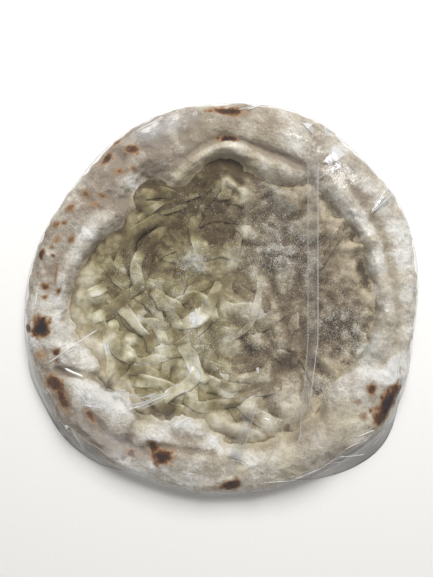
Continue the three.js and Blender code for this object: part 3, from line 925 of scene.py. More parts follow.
def spot_tone(places, spots, level):
    """Shift of the tone that spots at the photo's pixels give each place."""
    tone = np.zeros(len(places))
    for x, y, spread, shift in spots:
        middle = photo_level(x, y, level)
        tone += shift * hill(away_from(places, middle), spread)
    return tone


def hollow_shade(ground, places):
    """Painted shade: how much darker each place is painted for lying below what is around it."""
    tone = np.zeros(len(places))
    for reach, share in ONION_HOLLOW_SHADES:
        hollow = ground.hollow(places[:, 0], places[:, 1], reach, ONION_CEILING)
        tone += share * np.clip(hollow, *ONION_HOLLOW_LIMITS)
    return tone


def frost_cover(ground, places):
    """How thickly frost lies at each place: mostly on the humps of the dry side, below 0 where it is oily."""
    crust = tree_of("crust_dough")
    cover = np.zeros(len(places))
    for x, y, spread, share in FROST_PATCHES:
        away = away_from(places, photo_point(crust, x, y))
        cover = np.maximum(cover, min(1, share / FROST_FULL_SHARE) * hill(away, spread))
    hump = -ground.hollow(places[:, 0], places[:, 1], FROST_REACH, ONION_CEILING)
    clumps = 0.5 + np.clip(layered(uneven, places, FROST_CLUMPS), -0.5, 1)
    veil = FROST_VEIL * cover * clumps * (FROST_IN_HOLLOWS + ease(hump, *FROST_HUMPS))
    return veil - FROST_KEPT_OFF * (1 - dryness(places))


def wave(draw, along, low, high):
    """A wave along a strip, from -1 to 1, with low to high turns and a random start."""
    return np.sin(2 * math.pi * (along * draw.uniform(low, high) + draw.random()))


class GroundGrid:
    """Heights of the named pieces' upper side, on a square grid."""

    REACH = 150

    def __init__(self, names, pitch=1.0):
        self.pitch = pitch
        self.axis = np.arange(-self.REACH, self.REACH + pitch, pitch)
        self.x, self.y = np.meshgrid(self.axis, self.axis)
        self.top = heights(tree_of(*names), self.x, self.y)

    def sample(self, x, y, values=None):
        """Height at each (x, y), or another of the grid's values, between the grid's points."""
        values = self.top if values is None else values
        column = (np.asarray(x) + self.REACH) / self.pitch
        row = (np.asarray(y) + self.REACH) / self.pitch
        left = np.clip(np.floor(column).astype(int), 0, len(self.axis) - 2)
        low = np.clip(np.floor(row).astype(int), 0, len(self.axis) - 2)
        u = column - left
        v = row - low
        near = values[low, left] * (1 - u) + values[low, left + 1] * u
        far = values[low + 1, left] * (1 - u) + values[low + 1, left + 1] * u
        return near * (1 - v) + far * v

    def hollow(self, x, y, reach, ceiling=np.inf):
        """How far each (x, y) lies below what is around it within a reach, counted up to a ceiling."""
        steps = reach / self.pitch
        top = np.minimum(self.top, ceiling)
        around = smooth_down(smooth_down(top, steps).T, steps).T
        return self.sample(x, y, around - top)

    def raise_to(self, x, y, top):
        """Raises the ground to a strip's upper skin."""
        x, y, top = (self.between(values) for values in (x, y, top))
        row, column = (
            np.clip(np.rint((place + self.REACH) / self.pitch).astype(int), 0, len(self.axis) - 1)
            for place in (y, x))
        np.maximum.at(self.top, (row, column), top)

    def between(self, values):
        """The values with three more between each two, both ways."""
        for axis in (0, 1):
            old = np.arange(values.shape[axis])
            new = np.linspace(0, old[-1], 4 * old[-1] + 1)
            values = np.apply_along_axis(lambda line: np.interp(new, old, line), axis, values)
        return values


def colour_property(name, description, code):
    """A colour that a user can change, from an sRGB hex code."""
    return FloatVectorProperty(name=name, description=description, subtype="COLOR", default=linear(code))


def length_property(name, description, size):
    """A length that a user can change, from millimetres."""
    return FloatProperty(name=name, description=description, default=size * MM, unit="LENGTH")


class PizzaDoughSettings(bpy.types.PropertyGroup):
    """Colours of the dough."""

    flour: colour_property("Flour", "Floury dough", "#e1e0dc")
    cream: colour_property("Cream", "Plain dough", "#b9b1a3")
    # Tan is also reached where painted shade darkens the dough
    tan: colour_property("Tan", "Baked dough", "#908475")
    oil: colour_property("Oil", "Oily dough", "#c3b793")
    toast: colour_property("Toast", "Light scorch", "#a08160")
    brown: colour_property("Brown", "Scorch", "#5f3e26")
    char: colour_property("Char", "Burnt dough", "#272021")


class PizzaOnionSettings(bpy.types.PropertyGroup):
    """Sizes and colours of the onion and its frost."""

    strip_width: length_property("Strip Width", "Width of an onion strip", 8.5)
    pale: colour_property("Pale", "Edges of a strip", "#d6d0b7")
    olive: colour_property("Olive", "Soft onion", "#8f8460")
    # The darkest onion colours, brown and umber, also carry the painted shade of the hollows
    brown: colour_property("Brown", "Deep gaps", "#54462c")
    ash: colour_property("Ash", "Dried humps", "#cbc3b2")
    dun: colour_property("Dun", "Dried onion", "#8c7e69")
    umber: colour_property("Umber", "Dried hollows", "#5a4c3c")
    crumb: colour_property("Crumb", "Thin onion", "#b0a389")
    frost: colour_property("Frost", "Frost", "#f2f1ec")
    frost_shade: colour_property("Frost Shade", "Shaded frost", "#cdcac0")
    crystals: IntProperty(name="Crystals", description="Frost crystals", default=FROST_CRYSTALS, min=1)


class PizzaFilmSettings(bpy.types.PropertyGroup):
    """Sizes and colours of the film."""

    sag: length_property("Sag", "How far the film sags over the well", 6.5)
    tint: colour_property("Tint", "Film's sheen", "#f8f8f8")
    # Grey of the painted shade on the skirt's wings
    grey: colour_property("Grey", "Gathered film", "#77736e")


class PizzaStageSettings(bpy.types.PropertyGroup):
    """Floor, light and camera."""

    floor: colour_property("Floor", "Paper floor", "#f2f1ef")
    sky: colour_property("Sky", "Light from all round", "#fffdfb")
    distance: length_property("Distance", "Camera to the base", 380)
    elevation: FloatProperty(
        name="Elevation", description="Camera above the horizon", default=math.radians(82), subtype="ANGLE")


def paper_material(colours):
    """Matt white paper: flat and pale, with a faint fibre."""
    material, tree, fields = new_material("matt_white_paper", PAPER_NOISE)
    stops = [(0.3, [0.98 * share for share in colours.floor]), (0.7, colours.floor)]
    shade = add_node(tree, "ValToRGB", {"stops": stops, "Fac": fields["fibre"]})
    surface = add_node(tree, "BsdfPrincipled", {"Base Color": shade, "Roughness": 0.9})
    add_node(tree, "OutputMaterial", {"Surface": surface})
    return material


def dough_material(colours):
    """Par-baked wheat dough, floured and hand-stretched: matte, pale and mottled, scorched in spots."""
    material, tree, fields = new_material("par_baked_dough", DOUGH_NOISE, ["browning", "soak", "scorch"])
    broad = add_node(tree, "Math", {"operation": "MULTIPLY_ADD", 0: fields["patches"], 1: 1.5, 2: -0.96})
    mixed = add_node(tree, "Math", {"operation": "MULTIPLY_ADD", 0: fields["mottle"], 1: 0.45, 2: broad})
    fine = add_node(tree, "Math", {"operation": "MULTIPLY_ADD", 0: fields["flecks"], 1: 0.6, 2: mixed})
    # browning carries darker and paler spots and the painted shade of the dough's hollows
    tone = add_node(tree, "Math", {"operation": "SUBTRACT", 0: fine, 1: fields["browning"]})
    stops = [(0.12, colours.tan), (0.46, colours.cream), (0.82, colours.flour)]
    floured = add_node(tree, "ValToRGB", {"stops": stops, "Fac": tone})
    soaked = add_node(tree, "Math", {"operation": "MULTIPLY", 0: fields["soak"], 1: 0.5})
    base = add_node(tree, "Mix", {"data_type": "RGBA", 0: soaked, 6: floured, 7: (*colours.oil, 1)}, 2)
    ragged = add_node(tree, "Math", {"operation": "MULTIPLY_ADD", 0: fields["speckle"], 1: 0.9, 2: 0.56})
    burn = add_node(tree, "Math", {"operation": "MULTIPLY", 0: fields["scorch"], 1: ragged})
    stops = [(0.1, colours.tan), (0.38, colours.toast), (0.62, colours.brown), (0.95, colours.char)]
    burnt = add_node(tree, "ValToRGB", {"stops": stops, "Fac": burn})
    share = add_node(tree, "MapRange", {"Value": burn, "From Min": 0.04, "From Max": 0.4})
    colour = add_node(tree, "Mix", {"data_type": "RGBA", 0: share, 6: base, 7: burnt}, 2)
    creased = add_node(tree, "Bump", {"Strength": 0.7, "Distance": 1.3 * MM, "Height": fields["wrinkles"]})
    grainy = {"Strength": 0.9, "Distance": 0.7 * MM, "Height": fields["grain"], "Normal": creased}
    looks = {
        "Base Color": colour, "Normal": add_node(tree, "Bump", grainy), "Roughness": 0.8,
        "Subsurface Weight": 0.06, "Subsurface Radius": (1, 0.7, 0.45), "Subsurface Scale": 1.5 * MM,
    }
    surface = add_node(tree, "BsdfPrincipled", looks)
    add_node(tree, "OutputMaterial", {"Surface": surface})
    return material


def onion_material(colours, name, grain):
    """Onion cooked soft in oil: glossy and half see-through, paler at the cut edges and in the fibres, with
    painted shade in its hollows.
    """
    noises = {**ONION_NOISE, "grain": (grain, 3, 0.6)}
    material, tree, fields = new_material(name, noises, ["pale", "dry", "fibre", "frost", "thin"])
    rough = add_node(tree, "Math", {"operation": "MULTIPLY_ADD", 0: fields["dry"], 1: 0.6, 2: 0.1})
    centred = add_node(tree, "Math", {"operation": "SUBTRACT", 0: fields["specks"], 1: 0.5})
    speckled = add_node(tree, "Math", {"operation": "MULTIPLY_ADD", 0: centred, 1: rough, 2: -0.25})
    mixed = add_node(tree, "Math", {"operation": "MULTIPLY_ADD", 0: fields["shreds"], 1: 0.5, 2: speckled})
    spread = add_node(tree, "Math", {"operation": "MULTIPLY_ADD", 0: fields["patches"], 1: 0.7, 2: mixed})
    spacing = {"operation": "MULTIPLY", 0: fields["fibre"], 1: 2 * math.pi / FIBRE_SPACING}
    line = add_node(tree, "Math", {"operation": "SINE", 0: add_node(tree, "Math", spacing)})
    lined = add_node(tree, "Math", {"operation": "MULTIPLY_ADD", 0: line, 1: 0.02, 2: spread})
    # pale carries the tone spots, the strips' edges and own shades, and the painted shade of the hollows
    tone = add_node(tree, "Math", {"operation": "ADD", 0: lined, 1: fields["pale"]})
    ramps = [
        [(0.02, colours.brown), (0.38, colours.olive), (0.78, colours.pale), (1, colours.frost)],
        [(0.02, colours.umber), (0.38, colours.dun), (0.78, colours.ash)],
        [(0, colours.umber), (0.35, colours.crumb), (0.75, colours.ash)],
    ]
    oily, dried, doughy = (add_node(tree, "ValToRGB", {"stops": stops, "Fac": tone}) for stops in ramps)
    onion = add_node(tree, "Mix", {"data_type": "RGBA", 0: fields["dry"], 6: oily, 7: dried}, 2)
    blended = add_node(tree, "Mix", {"data_type": "RGBA", 0: fields["thin"], 6: onion, 7: doughy}, 2)
    rime = add_node(tree, "Math", {"operation": "MULTIPLY_ADD", 0: fields["rime"], 1: 3.4, 2: -2.05})
    veil = add_node(tree, "Math", {"operation": "ADD", "use_clamp": True, 0: rime, 1: fields["frost"]})
    iced = add_node(tree, "Mix", {"data_type": "RGBA", 0: veil, 6: blended, 7: (*colours.frost, 1)}, 2)
    bump = add_node(tree, "Bump", {"Strength": 0.5, "Distance": 0.5 * MM, "Height": fields["grain"]})
    looks = {
        "Base Color": iced, "Normal": bump, "Roughness": 0.34,
        "Subsurface Weight": 0.3, "Subsurface Radius": (1, 0.85, 0.4), "Subsurface Scale": 3 * MM,
    }
    surface = add_node(tree, "BsdfPrincipled", looks)
    add_node(tree, "OutputMaterial", {"Surface": surface})
    return material


def frost_material(colours):
    """Freezer frost: loose white ice grains that scatter nearly all the light."""
    material, tree, fields = new_material("freezer_frost", FROST_NOISE)
    stops = [(0.3, colours.frost_shade), (0.62, colours.frost)]
    colour = add_node(tree, "ValToRGB", {"stops": stops, "Fac": fields["shade"]})
    surface = add_node(tree, "BsdfPrincipled", {"Base Color": colour, "Roughness": 0.35, "IOR": 1.31})
    add_node(tree, "OutputMaterial", {"Surface": surface})
    return material


def film_material(colours, name):
    """Polyolefin shrink film: clear, with a sharp sheen that grows at a slant, milky where it is pleated, white
    with painted sheen and glints, and grey with painted shade on the skirt's wings.
    """
    material, tree, fields = new_material(name, FILM_NOISE, ["haze", "gather"])
    slant = add_node(tree, "LayerWeight", {"Blend": 0.5}, "Facing")
    steep = add_node(tree, "Math", {"operation": "POWER", 0: slant, 1: 5})
    sheen = add_node(tree, "Math", {"operation": "MULTIPLY_ADD", 0: steep, 1: 0.6, 2: 0.07})
    opaque_share = add_node(tree, "Math", {"operation": "MAXIMUM", 0: fields["haze"], 1: fields["gather"]})
    cover = add_node(tree, "Math", {"operation": "MAXIMUM", 0: sheen, 1: opaque_share})
    mirror = add_node(tree, "Math", {"operation": "SUBTRACT", "use_clamp": True, 0: 1, 1: opaque_share})
    tints = {6: (*colours.tint, 1), 7: (*colours.grey, 1)}
    colour = add_node(tree, "Mix", {"data_type": "RGBA", 0: fields["gather"], **tints}, 2)
    bump = add_node(tree, "Bump", {"Strength": 0.5, "Distance": 0.8 * MM, "Height": fields["wrinkles"]})
    looks = {"Base Color": colour, "Metallic": mirror, "Alpha": cover, "Normal": bump, "Roughness": 0.2}
    surface = add_node(tree, "BsdfPrincipled", looks)
    add_node(tree, "OutputMaterial", {"Surface": surface})
    return material


class PIZZA_OT_set_stage(bpy.types.Operator):
    """Lays the floor and sets the light and the camera"""

    bl_idname = "pizza.set_stage"
    bl_label = "Set Stage"

    def execute(self, context):
        scene = context.scene
        stage = scene.pizza_stage
        scene.view_settings.view_transform = "Standard"
        world = bpy.data.worlds.new("pale studio")
        world.use_nodes = True
        background = world.node_tree.nodes["Background"]
        background.inputs["Color"].default_value = (*stage.sky, 1)
        background.inputs["Strength"].default_value = SKY_STRENGTH
        scene.world = world
        floor = new_primitive(bpy.ops.mesh.primitive_plane_add, "floor", size=FLOOR_SIDE, location=(0, 0, 0))
        floor.data.materials.append(paper_material(stage))
        for light in LIGHTS:
            self.add_light(*light)
        back = Vector((0, -math.cos(stage.elevation), math.sin(stage.elevation)))
        bpy.ops.object.camera_add(location=Vector(LOOKED_AT) * MM + back * stage.distance)
        camera = context.object
        camera.rotation_euler = (-back).to_track_quat("-Z", "Y").to_euler()
        camera.data.lens = LENS
        camera.data.clip_start = NEAREST_VIEW * MM
        scene.camera = camera
        context.view_layer.update()
        return {"FINISHED"}

    def add_light(self, name, azimuth, elevation, side, power, seen_in):
        """A soft square light that faces the base, seen as diffuse light, in reflections or as both."""
        way = way_to(azimuth, elevation)
        bpy.ops.object.light_add(type="AREA", location=way * LIGHT_DISTANCE)
        light = bpy.context.object
        light.name = name
        light.rotation_euler = way.to_track_quat("Z", "Y").to_euler()
        light.data.size = side
        light.data.energy = power
        light.visible_glossy = seen_in != "diffuse"
        light.visible_diffuse = seen_in != "glossy"


class PIZZA_OT_make_crust(bpy.types.Operator):
    """Makes the lumpy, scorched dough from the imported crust"""

    bl_idname = "pizza.make_crust"
    bl_label = "Make Crust"

    def execute(self, context):
        radius, height = self.sections(tree_of("crust"), angles_round(CRUST_SEGMENTS))
        crust = turned_body("crust_dough", radius, height)
        places = vertices_of(crust)
        rim = ease(away_from(places, (0, 0)), *LUMP_RADII)
        weights = ease(places[:, 2], *LUMP_HEIGHTS) * (WELL_LUMPS + (1 - WELL_LUMPS) * rim)
        add_lumps(crust, DOUGH_LUMPS, weights)
        places = vertices_of(crust)
        high = np.maximum(places[:, 2] - LUMP_CEILING + LUMP_ROUNDING, 0)
        places[:, 2] += LUMP_ROUNDING * np.tanh(high / LUMP_ROUNDING) - high
        set_vertices(crust, places)
        self.bake(crust)
        finish_piece(crust, dough_material(context.scene.pizza_dough), "crust")
        return {"FINISHED"}

    def sections(self, solid, angles):
        """Radius and height of the dough's rings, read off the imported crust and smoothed."""
        outline = wall_radius(solid, angles, EQUATOR)
        foot = outline - FOOT_INSET
        radius = [share * foot for share in UNDERSIDE_SHARES]
        height = [np.full_like(foot, DOUGH_FOOT) for _ in UNDERSIDE_SHARES]
        for step in range(1, LOWER_WALL_RINGS + 1):
            turn = math.pi / 2 * step / LOWER_WALL_RINGS
            radius.append(outline - FOOT_INSET * (1 - math.sin(turn)))
            height.append(np.full_like(foot, EQUATOR - (EQUATOR - DOUGH_FOOT) * math.cos(turn)))
        for step in range(1, UPPER_WALL_RINGS + 1):
            level = EQUATOR + UPPER_WALL_STEP * step
            radius.append(wall_radius(solid, angles, level))
            height.append(np.full_like(foot, level))
        start = radius[-1]
        inner = [start + (CROWN_END - start) * step / CROWN_RINGS for step in range(1, CROWN_RINGS + 1)]
        well = [np.full_like(foot, CROWN_END * (1 - step / WELL_RINGS)) for step in range(1, WELL_RINGS + 1)]
        inner = np.array(inner + well)
        x, y = inner * np.cos(angles), inner * np.sin(angles)
        top = smooth_round(smooth_down(heights(solid, x, y), TOP_SMOOTHING_DOWN), TOP_SMOOTHING_ROUND)
        top += self.folds(x, y)
        top[-1] = top[-1].mean()
        inner = inner + self.undercut(angles, inner, top)
        radius = smooth_round(np.array(radius), WALL_SMOOTHING)
        return np.concatenate([radius, inner]), np.concatenate([np.array(height), top])

    def folds(self, x, y):
        """Height that the rolls, creases and hollows add to the dough."""
        rise = DOUGH_HOLLOW_SHARE * np.minimum(well_relief(x, y), 0)
        for line, width, height in FOLDS:
            line = [photo_level(*spot, FOLD_LEVEL) for spot in line]
            rise += height * hill(away_from_line(x, y, line), width)
        return rise

    def undercut(self, angles, reach, top):
        """How far out each low point of the upper face lies, under the rim's lip."""
        under = BASE_UNDERCUT + stretches_round(np.degrees(angles), UNDERCUTS)
        crest = np.argmax(top * (reach > CREST_RADII[0]) * (reach < CREST_RADII[1]), axis=0)
        columns = np.arange(len(angles))
        crest_height = smooth_round(top[crest, columns], CREST_SMOOTHING)
        crest_reach = smooth_round(reach[crest, columns], CREST_SMOOTHING)
        low = 1 - ease(top, UNDERCUT_LEVEL, crest_height - UNDERCUT_BELOW_CREST)
        start = crest_reach - UNDERCUT_INSET
        near = ease(reach, start - UNDERCUT_FADE, start)
        return under * low * near * (reach < crest_reach)

    def bake(self, crust):
        """Stores how far each spot of the dough is scorched, and how much darker or paler it is, with painted
        shade in its hollows.
        """
        tree = tree_of("crust_dough")
        places = vertices_of(crust)
        x, y, z = places.T
        ragged = 1 + layered(uneven, places, SCORCH_RAGS)
        scorch = np.zeros(len(places))
        for px, py, length, width, lean, burn in SCORCHES:
            middle = photo_point(tree, px, py)
            apart = oval_apart(x, y, middle, length, width, lean)
            apart = np.hypot(apart, (z - middle[2]) / SCORCH_DEPTH) * ragged
            scorch = np.maximum(scorch, burn * (1 - ease(apart, *SCORCH_FADE)))
        set_attribute(crust, "scorch", scorch)
        # Tone of the dough: stretches of the rim and spots, partly painted light and shade, then painted shade
        # in the hollows
        browning = stretches_round(np.degrees(np.arctan2(y, x)), RIM_TONE_STRETCHES)
        browning += spot_tone(places, DOUGH_TONES_AND_SHADE, FOLD_LEVEL)
        # Painted shade: hollows of the dough's upper face are darkened
        ground = GroundGrid(["crust_dough"])
        hollow = np.clip(ground.hollow(x, y, DOUGH_HOLLOW_REACH), *DOUGH_HOLLOW_LIMITS)
        upper = ease(z - ground.sample(x, y), *UPPER_FACE_DEPTH) * ease(z, *UPPER_FACE_HEIGHT)
        set_attribute(crust, "browning", browning + DOUGH_HOLLOW_SHADE * hollow * upper)


class PIZZA_OT_make_onion_bed(bpy.types.Operator):
    """Makes the soft onion that fills the well between the strips"""

    bl_idname = "pizza.make_onion_bed"
    bl_label = "Make Onion Bed"

    def execute(self, context):
        dough = GroundGrid(["crust_dough"])
        radius, height, thin = self.sections(dough, angles_round(BED_SEGMENTS))
        bed = turned_body("onion_bed", radius, height, thin=thin)
        places = vertices_of(bed)
        top = ease(places[:, 2], BED_BOTTOM, BED_LEVEL - BED_TUCK / 2)
        relief = well_relief(places[:, 0], places[:, 1]) + layered(uneven, places, BED_WAVES)
        soft = OILY_PILLOWS + (1 - OILY_PILLOWS) * ease(places[:, 0], *PILLOW_SIDE)
        relief += soft * layered(pillows, places, BED_PILLOWS)
        places[:, 2] += relief * top
        places[:, 2] = self.cover(dough, places, top)
        set_vertices(bed, places)
        # Tone spots of the onion, partly painted shadow under the top lip
        set_attribute(bed, "pale", spot_tone(places, ONION_TONES_AND_SHADE, BED_LEVEL))
        set_attribute(bed, "dry", dryness(places))
        onion = onion_material(context.scene.pizza_onion, "soft_onion", BED_GRAIN)
        finish_piece(bed, onion, "onion_topping")
        self.soak(bpy.data.objects["crust_dough"])
        return {"FINISHED"}

    def sections(self, dough, angles):
        """Radius and height of the bed's rings, out to the dough, and how thin the onion is."""
        reach = np.arange(*BED_EDGE_RADII, 1.0)[:, None]
        bearing = np.degrees(angles)
        bank = BED_BANK + stretches_round(bearing, BED_BANKS)
        low = dough.sample(reach * np.cos(angles), reach * np.sin(angles)) < BED_LEVEL + bank
        contact = smooth_round(reach[::-1, 0][np.argmax(low[::-1], axis=0)], BED_EDGE_SMOOTHING)
        edge = contact + BED_TUCK
        shares = 1 - np.arange(BED_RINGS - 2) / (BED_RINGS - 3)
        radius = np.concatenate([np.zeros((1, BED_SEGMENTS)), edge[None], shares[:, None] * edge])
        groove = stretches_round(bearing, BED_GROOVES)
        height = BED_LEVEL + bank * ease(radius, contact - BANK_FOOT, contact - BANK_TOP)
        height -= groove * ease(radius, contact - BANK_TOP, contact) + np.maximum(radius - contact, 0)
        height[:2] = BED_BOTTOM
        fade = THIN_WIDTH + stretches_round(bearing, THIN_STRETCHES)
        thin = ease(radius, contact - fade, contact) * np.clip(1 - groove, 0, 1)
        return radius, height, thin

    def cover(self, dough, places, top):
        """Height of the bed, kept above the dough in the open well and over the low dome."""
        dome = photo_level(*DOME_MIDDLE, BED_LEVEL)
        covered = (away_from(places, (0, 0)) < OPEN_WELL) | (away_from(places, dome) < DOME_RADIUS)
        least = dough.sample(places[:, 0], places[:, 1]) + BED_COVER
        return np.where(covered & (top > 0.5), np.maximum(places[:, 2], least), places[:, 2])

    def soak(self, crust):
        """Stores how far each spot of the dough is soaked with oil."""
        places = vertices_of(crust)
        rise = places[:, 2] - heights(tree_of("onion_bed"), places[:, 0], places[:, 1], NO_BED)
        beside = OIL_SOAK * (1 - ease(rise, 0, OIL_CREEP))
        set_attribute(crust, "soak", beside + spot_tone(places, OILY_SPOTS, FOLD_LEVEL))


class PIZZA_OT_make_onion_strips(bpy.types.Operator):
    """Lays soft onion strips on the bed, each over what lies below it"""

    bl_idname = "pizza.make_onion_strips"
    bl_label = "Make Onion Strips"

    def execute(self, context):
        draw = np.random.default_rng(STRIP_SEED)
        ground = GroundGrid(["crust_dough", "onion_bed"])
        width = context.scene.pizza_onion.strip_width / MM
        along = np.linspace(0, 1, STRIP_STEPS)[:, None]
        across = np.linspace(-1, 1, STRIP_ROWS)
        rows = (2, STRIP_STEPS, STRIP_ROWS)
        places, faces, pale, fibre = [], [], [], []
        strewn = self.strew(draw) + COVE_STRIPS
        for index, strip in enumerate(strewn + MAIN_STRIPS):
            main = index >= len(strewn)
            wide = width * draw.uniform(*(MAIN_WIDTHS if main else STREWN_WIDTHS))
            points = self.lay(ground, strip, wide, MAIN_RISE if main else STREWN_RISE, draw)
            if points is None:
                continue
            faces.append(self.faces(sum(map(len, places))))
            places.append(points)
            edge = STRIP_EDGE_PALE * np.clip(across * draw.choice([-1, 1]), 0, 1) ** STRIP_EDGE_SHARPNESS
            waves = STRIP_SHADE_WAVE * wave(draw, along, *SHADE_TURNS)
            pale.append(np.broadcast_to(edge + waves + draw.uniform(*STRIP_SHADES), rows).ravel())
            lines = 0.5 * wide * across + draw.uniform(0, FIBRE_START)
            fibre.append(np.broadcast_to(lines, rows).ravel())
        piece = mesh_piece("onion_strips", np.concatenate(places), np.concatenate(faces))
        add_lumps(piece, STRIP_LUMPS, np.ones(len(piece.data.vertices)), "Z")
        places = vertices_of(piece)
        # Painted shade in the hollows, on top of the tone spots
        tone = spot_tone(places, ONION_TONES_AND_SHADE, BED_LEVEL) - hollow_shade(ground, places)
        set_attribute(piece, "pale", np.concatenate(pale) + tone)
        set_attribute(piece, "fibre", np.concatenate(fibre))
        set_attribute(piece, "dry", dryness(places))
        set_attribute(piece, "frost", frost_cover(ground, places))
        onion = onion_material(context.scene.pizza_onion, "onion_strip", STRIP_GRAIN)
        finish_piece(piece, onion)
        bed = bpy.data.objects["onion_bed"]
        places = vertices_of(bed)
        # Painted shade in the bed's hollows
        set_attribute(bed, "pale", attribute_of(bed, "pale") - hollow_shade(ground, places))
        set_attribute(bed, "frost", frost_cover(ground, places))
        return {"FINISHED"}

    def strew(self, draw):
        """Strips strewn over the well: round it in its upper part, slanting in its lower part."""
        strips = []
        for index in range(STREWN_STRIPS):
            reach = STREWN_REACH * math.sqrt((index + draw.random()) / STREWN_STRIPS)
            turn = GOLDEN_TURN * index
            x, y = reach * math.cos(turn), reach * math.sin(turn)
            heading = math.degrees(turn) + 90 if y > STREWN_ROUND_FROM else STREWN_HEADING
            heading += draw.normal(0, STREWN_SPREAD)
            bend = draw.uniform(-STREWN_TURN, STREWN_TURN)
            strips.append((x, y, heading, bend, draw.uniform(*STREWN_LENGTHS)))
        return [strip for strip in strips if strip[0] < STREWN_DRY_FROM or draw.random() < STREWN_DRY_SHARE]

    def lay(self, ground, strip, width, rise, draw):
        """Places of one strip's upper and lower skins, or None where it would leave the well."""
        x, y, heading, turn, length = strip
        start = math.radians(heading)
        bend = math.radians(turn if abs(turn) > 1 else 1)
        curve = length / bend
        along = np.linspace(0, 1, STRIP_STEPS)[:, None]
        across = np.linspace(-0.5, 0.5, STRIP_ROWS)[None, :]
        inside = STRIP_END_START + (1 - 2 * STRIP_END_START) * along
        taper = STRIP_END_WIDTH + (1 - STRIP_END_WIDTH) * np.sqrt(np.sin(math.pi * inside))
        taper = taper * (1 + STRIP_SWELL * wave(draw, along, *SWELL_TURNS))
        wander = STRIP_WANDER * wave(draw, along, *WANDER_TURNS)
        way = start + bend * along
        skins = []
        for flare in (0, STRIP_FLARE):
            side = curve - (across * taper + wander) * width - 2 * flare * across
            px = x - curve * math.sin(start) + side * np.sin(way)
            py = y + curve * math.cos(start) - side * np.cos(way)
            skins.append((px, py))
        (px, py), (low_x, low_y) = skins
        below = ground.sample(px, py)
        if below.max() > STRIP_GROUND_LIMIT:
            return None
        seat = smooth_down(below.mean(axis=1, keepdims=True), STRIP_SEAT_SMOOTHING)
        seat = np.maximum(seat, below.max(axis=1, keepdims=True) - STRIP_SEAT_DROP)
        arch = draw.uniform(*STRIP_ARCHES) * (1 - np.abs(2 * across) ** 2.5)
        ripple = STRIP_RIPPLE * wave(draw, along, *RIPPLE_TURNS)
        twist = draw.uniform(*STRIP_TWISTS) * wave(draw, along, *TWIST_TURNS)
        top = STRIP_SEAT_SHARE * seat + (1 - STRIP_SEAT_SHARE) * below + rise + arch + ripple + twist * across
        ends = hill(along, STRIP_END_REACH) + hill(1 - along, STRIP_END_REACH)
        top = top - STRIP_END_DROOP * ends
        low = top - STRIP_THICKNESS * (1 - STRIP_EDGE_THINNING * np.abs(2 * across) ** 3)
        low = np.minimum(low, below - STRIP_BITE)
        ground.raise_to(px, py, top)
        upper = np.stack([px, py, top], axis=-1).reshape(-1, 3)
        lower = np.stack([low_x, low_y, low], axis=-1).reshape(-1, 3)
        return np.concatenate([upper, lower])

    def faces(self, start):
        """Faces of one strip: upper skin, lower skin and the rim between them."""
        count = STRIP_STEPS * STRIP_ROWS
        grid = np.arange(count).reshape(STRIP_STEPS, STRIP_ROWS)
        quads = np.stack([grid[:-1, :-1], grid[1:, :-1], grid[1:, 1:], grid[:-1, 1:]], axis=-1).reshape(-1, 4)
        border = np.concatenate([grid[:-1, 0], grid[-1, :-1], grid[:0:-1, -1], grid[0, :0:-1]])
        after = np.roll(border, -1)
        rim = np.stack([border, border + count, after + count, after], axis=-1)
        return np.concatenate([quads, quads[:, ::-1] + count, rim]) + start


class PIZZA_OT_make_frost(bpy.types.Operator):
    """Strews frost crystals on the onion and the dough"""

    bl_idname = "pizza.make_frost"
    bl_label = "Make Frost"

    def execute(self, context):
        draw = np.random.default_rng(FROST_SEED)
        settings = context.scene.pizza_onion
        below = ["crust_dough", "onion_bed", "onion_strips"]
        spots = self.strew(draw, settings.crystals, GroundGrid(below))
        count = len(spots)
        size = draw.uniform(*CRYSTAL_SIZES, count)
        stretch = draw.uniform(*CRYSTAL_STRETCH, (count, 1, 3))
        spin = draw.uniform(0, 2 * math.pi, count)[:, None]
        cosine, sine = np.cos(spin), np.sin(spin)
        x, y, z = np.moveaxis(CRYSTAL_CORNERS * stretch * size[:, None, None], -1, 0)
        turned = np.stack([x * cosine - y * sine, x * sine + y * cosine, z], axis=-1)
        top = heights(tree_of(*below), spots[:, 0], spots[:, 1])
        middle = np.column_stack([spots, top + 0.5 * size])
        places = (turned + middle[:, None]).reshape(-1, 3)
        first = len(CRYSTAL_CORNERS) * np.arange(count)
        frost = mesh_piece("frost_crystals", places, (CRYSTAL_SIDES + first[:, None, None]).reshape(-1, 3))
        bpy.ops.object.shade_flat()
        finish_piece(frost, frost_material(settings))
        return {"FINISHED"}

    def strew(self, draw, crystals, ground):
        """Places of the crystals, as (x, y): in patches, thickest on the humps and in clumps."""
        crust = tree_of("crust_dough")
        total = sum(share for *_, share in FROST_PATCHES)
        spots = []
        for x, y, spread, share in FROST_PATCHES:
            middle = photo_point(crust, x, y)
            spots.append(draw.normal(middle[:2], CRYSTAL_SPREAD * spread, (int(crystals * share / total), 2)))
        spots = np.concatenate(spots)
        spots = spots[away_from(spots, (0, 0)) < CRYSTAL_LIMIT]
        hump = ease(-ground.hollow(spots[:, 0], spots[:, 1], FROST_REACH, ONION_CEILING), *CRYSTAL_HUMPS)
        clumps = uneven(np.column_stack([spots, np.zeros(len(spots))]), CRYSTAL_CLUMP_SIZE)
        kept = CRYSTALS_IN_HOLLOWS + (1 - CRYSTALS_IN_HOLLOWS) * hump
        kept *= CRYSTALS_BETWEEN_CLUMPS + ease(clumps, *CRYSTAL_CLUMPS)
        return spots[draw.random(len(spots)) < kept]


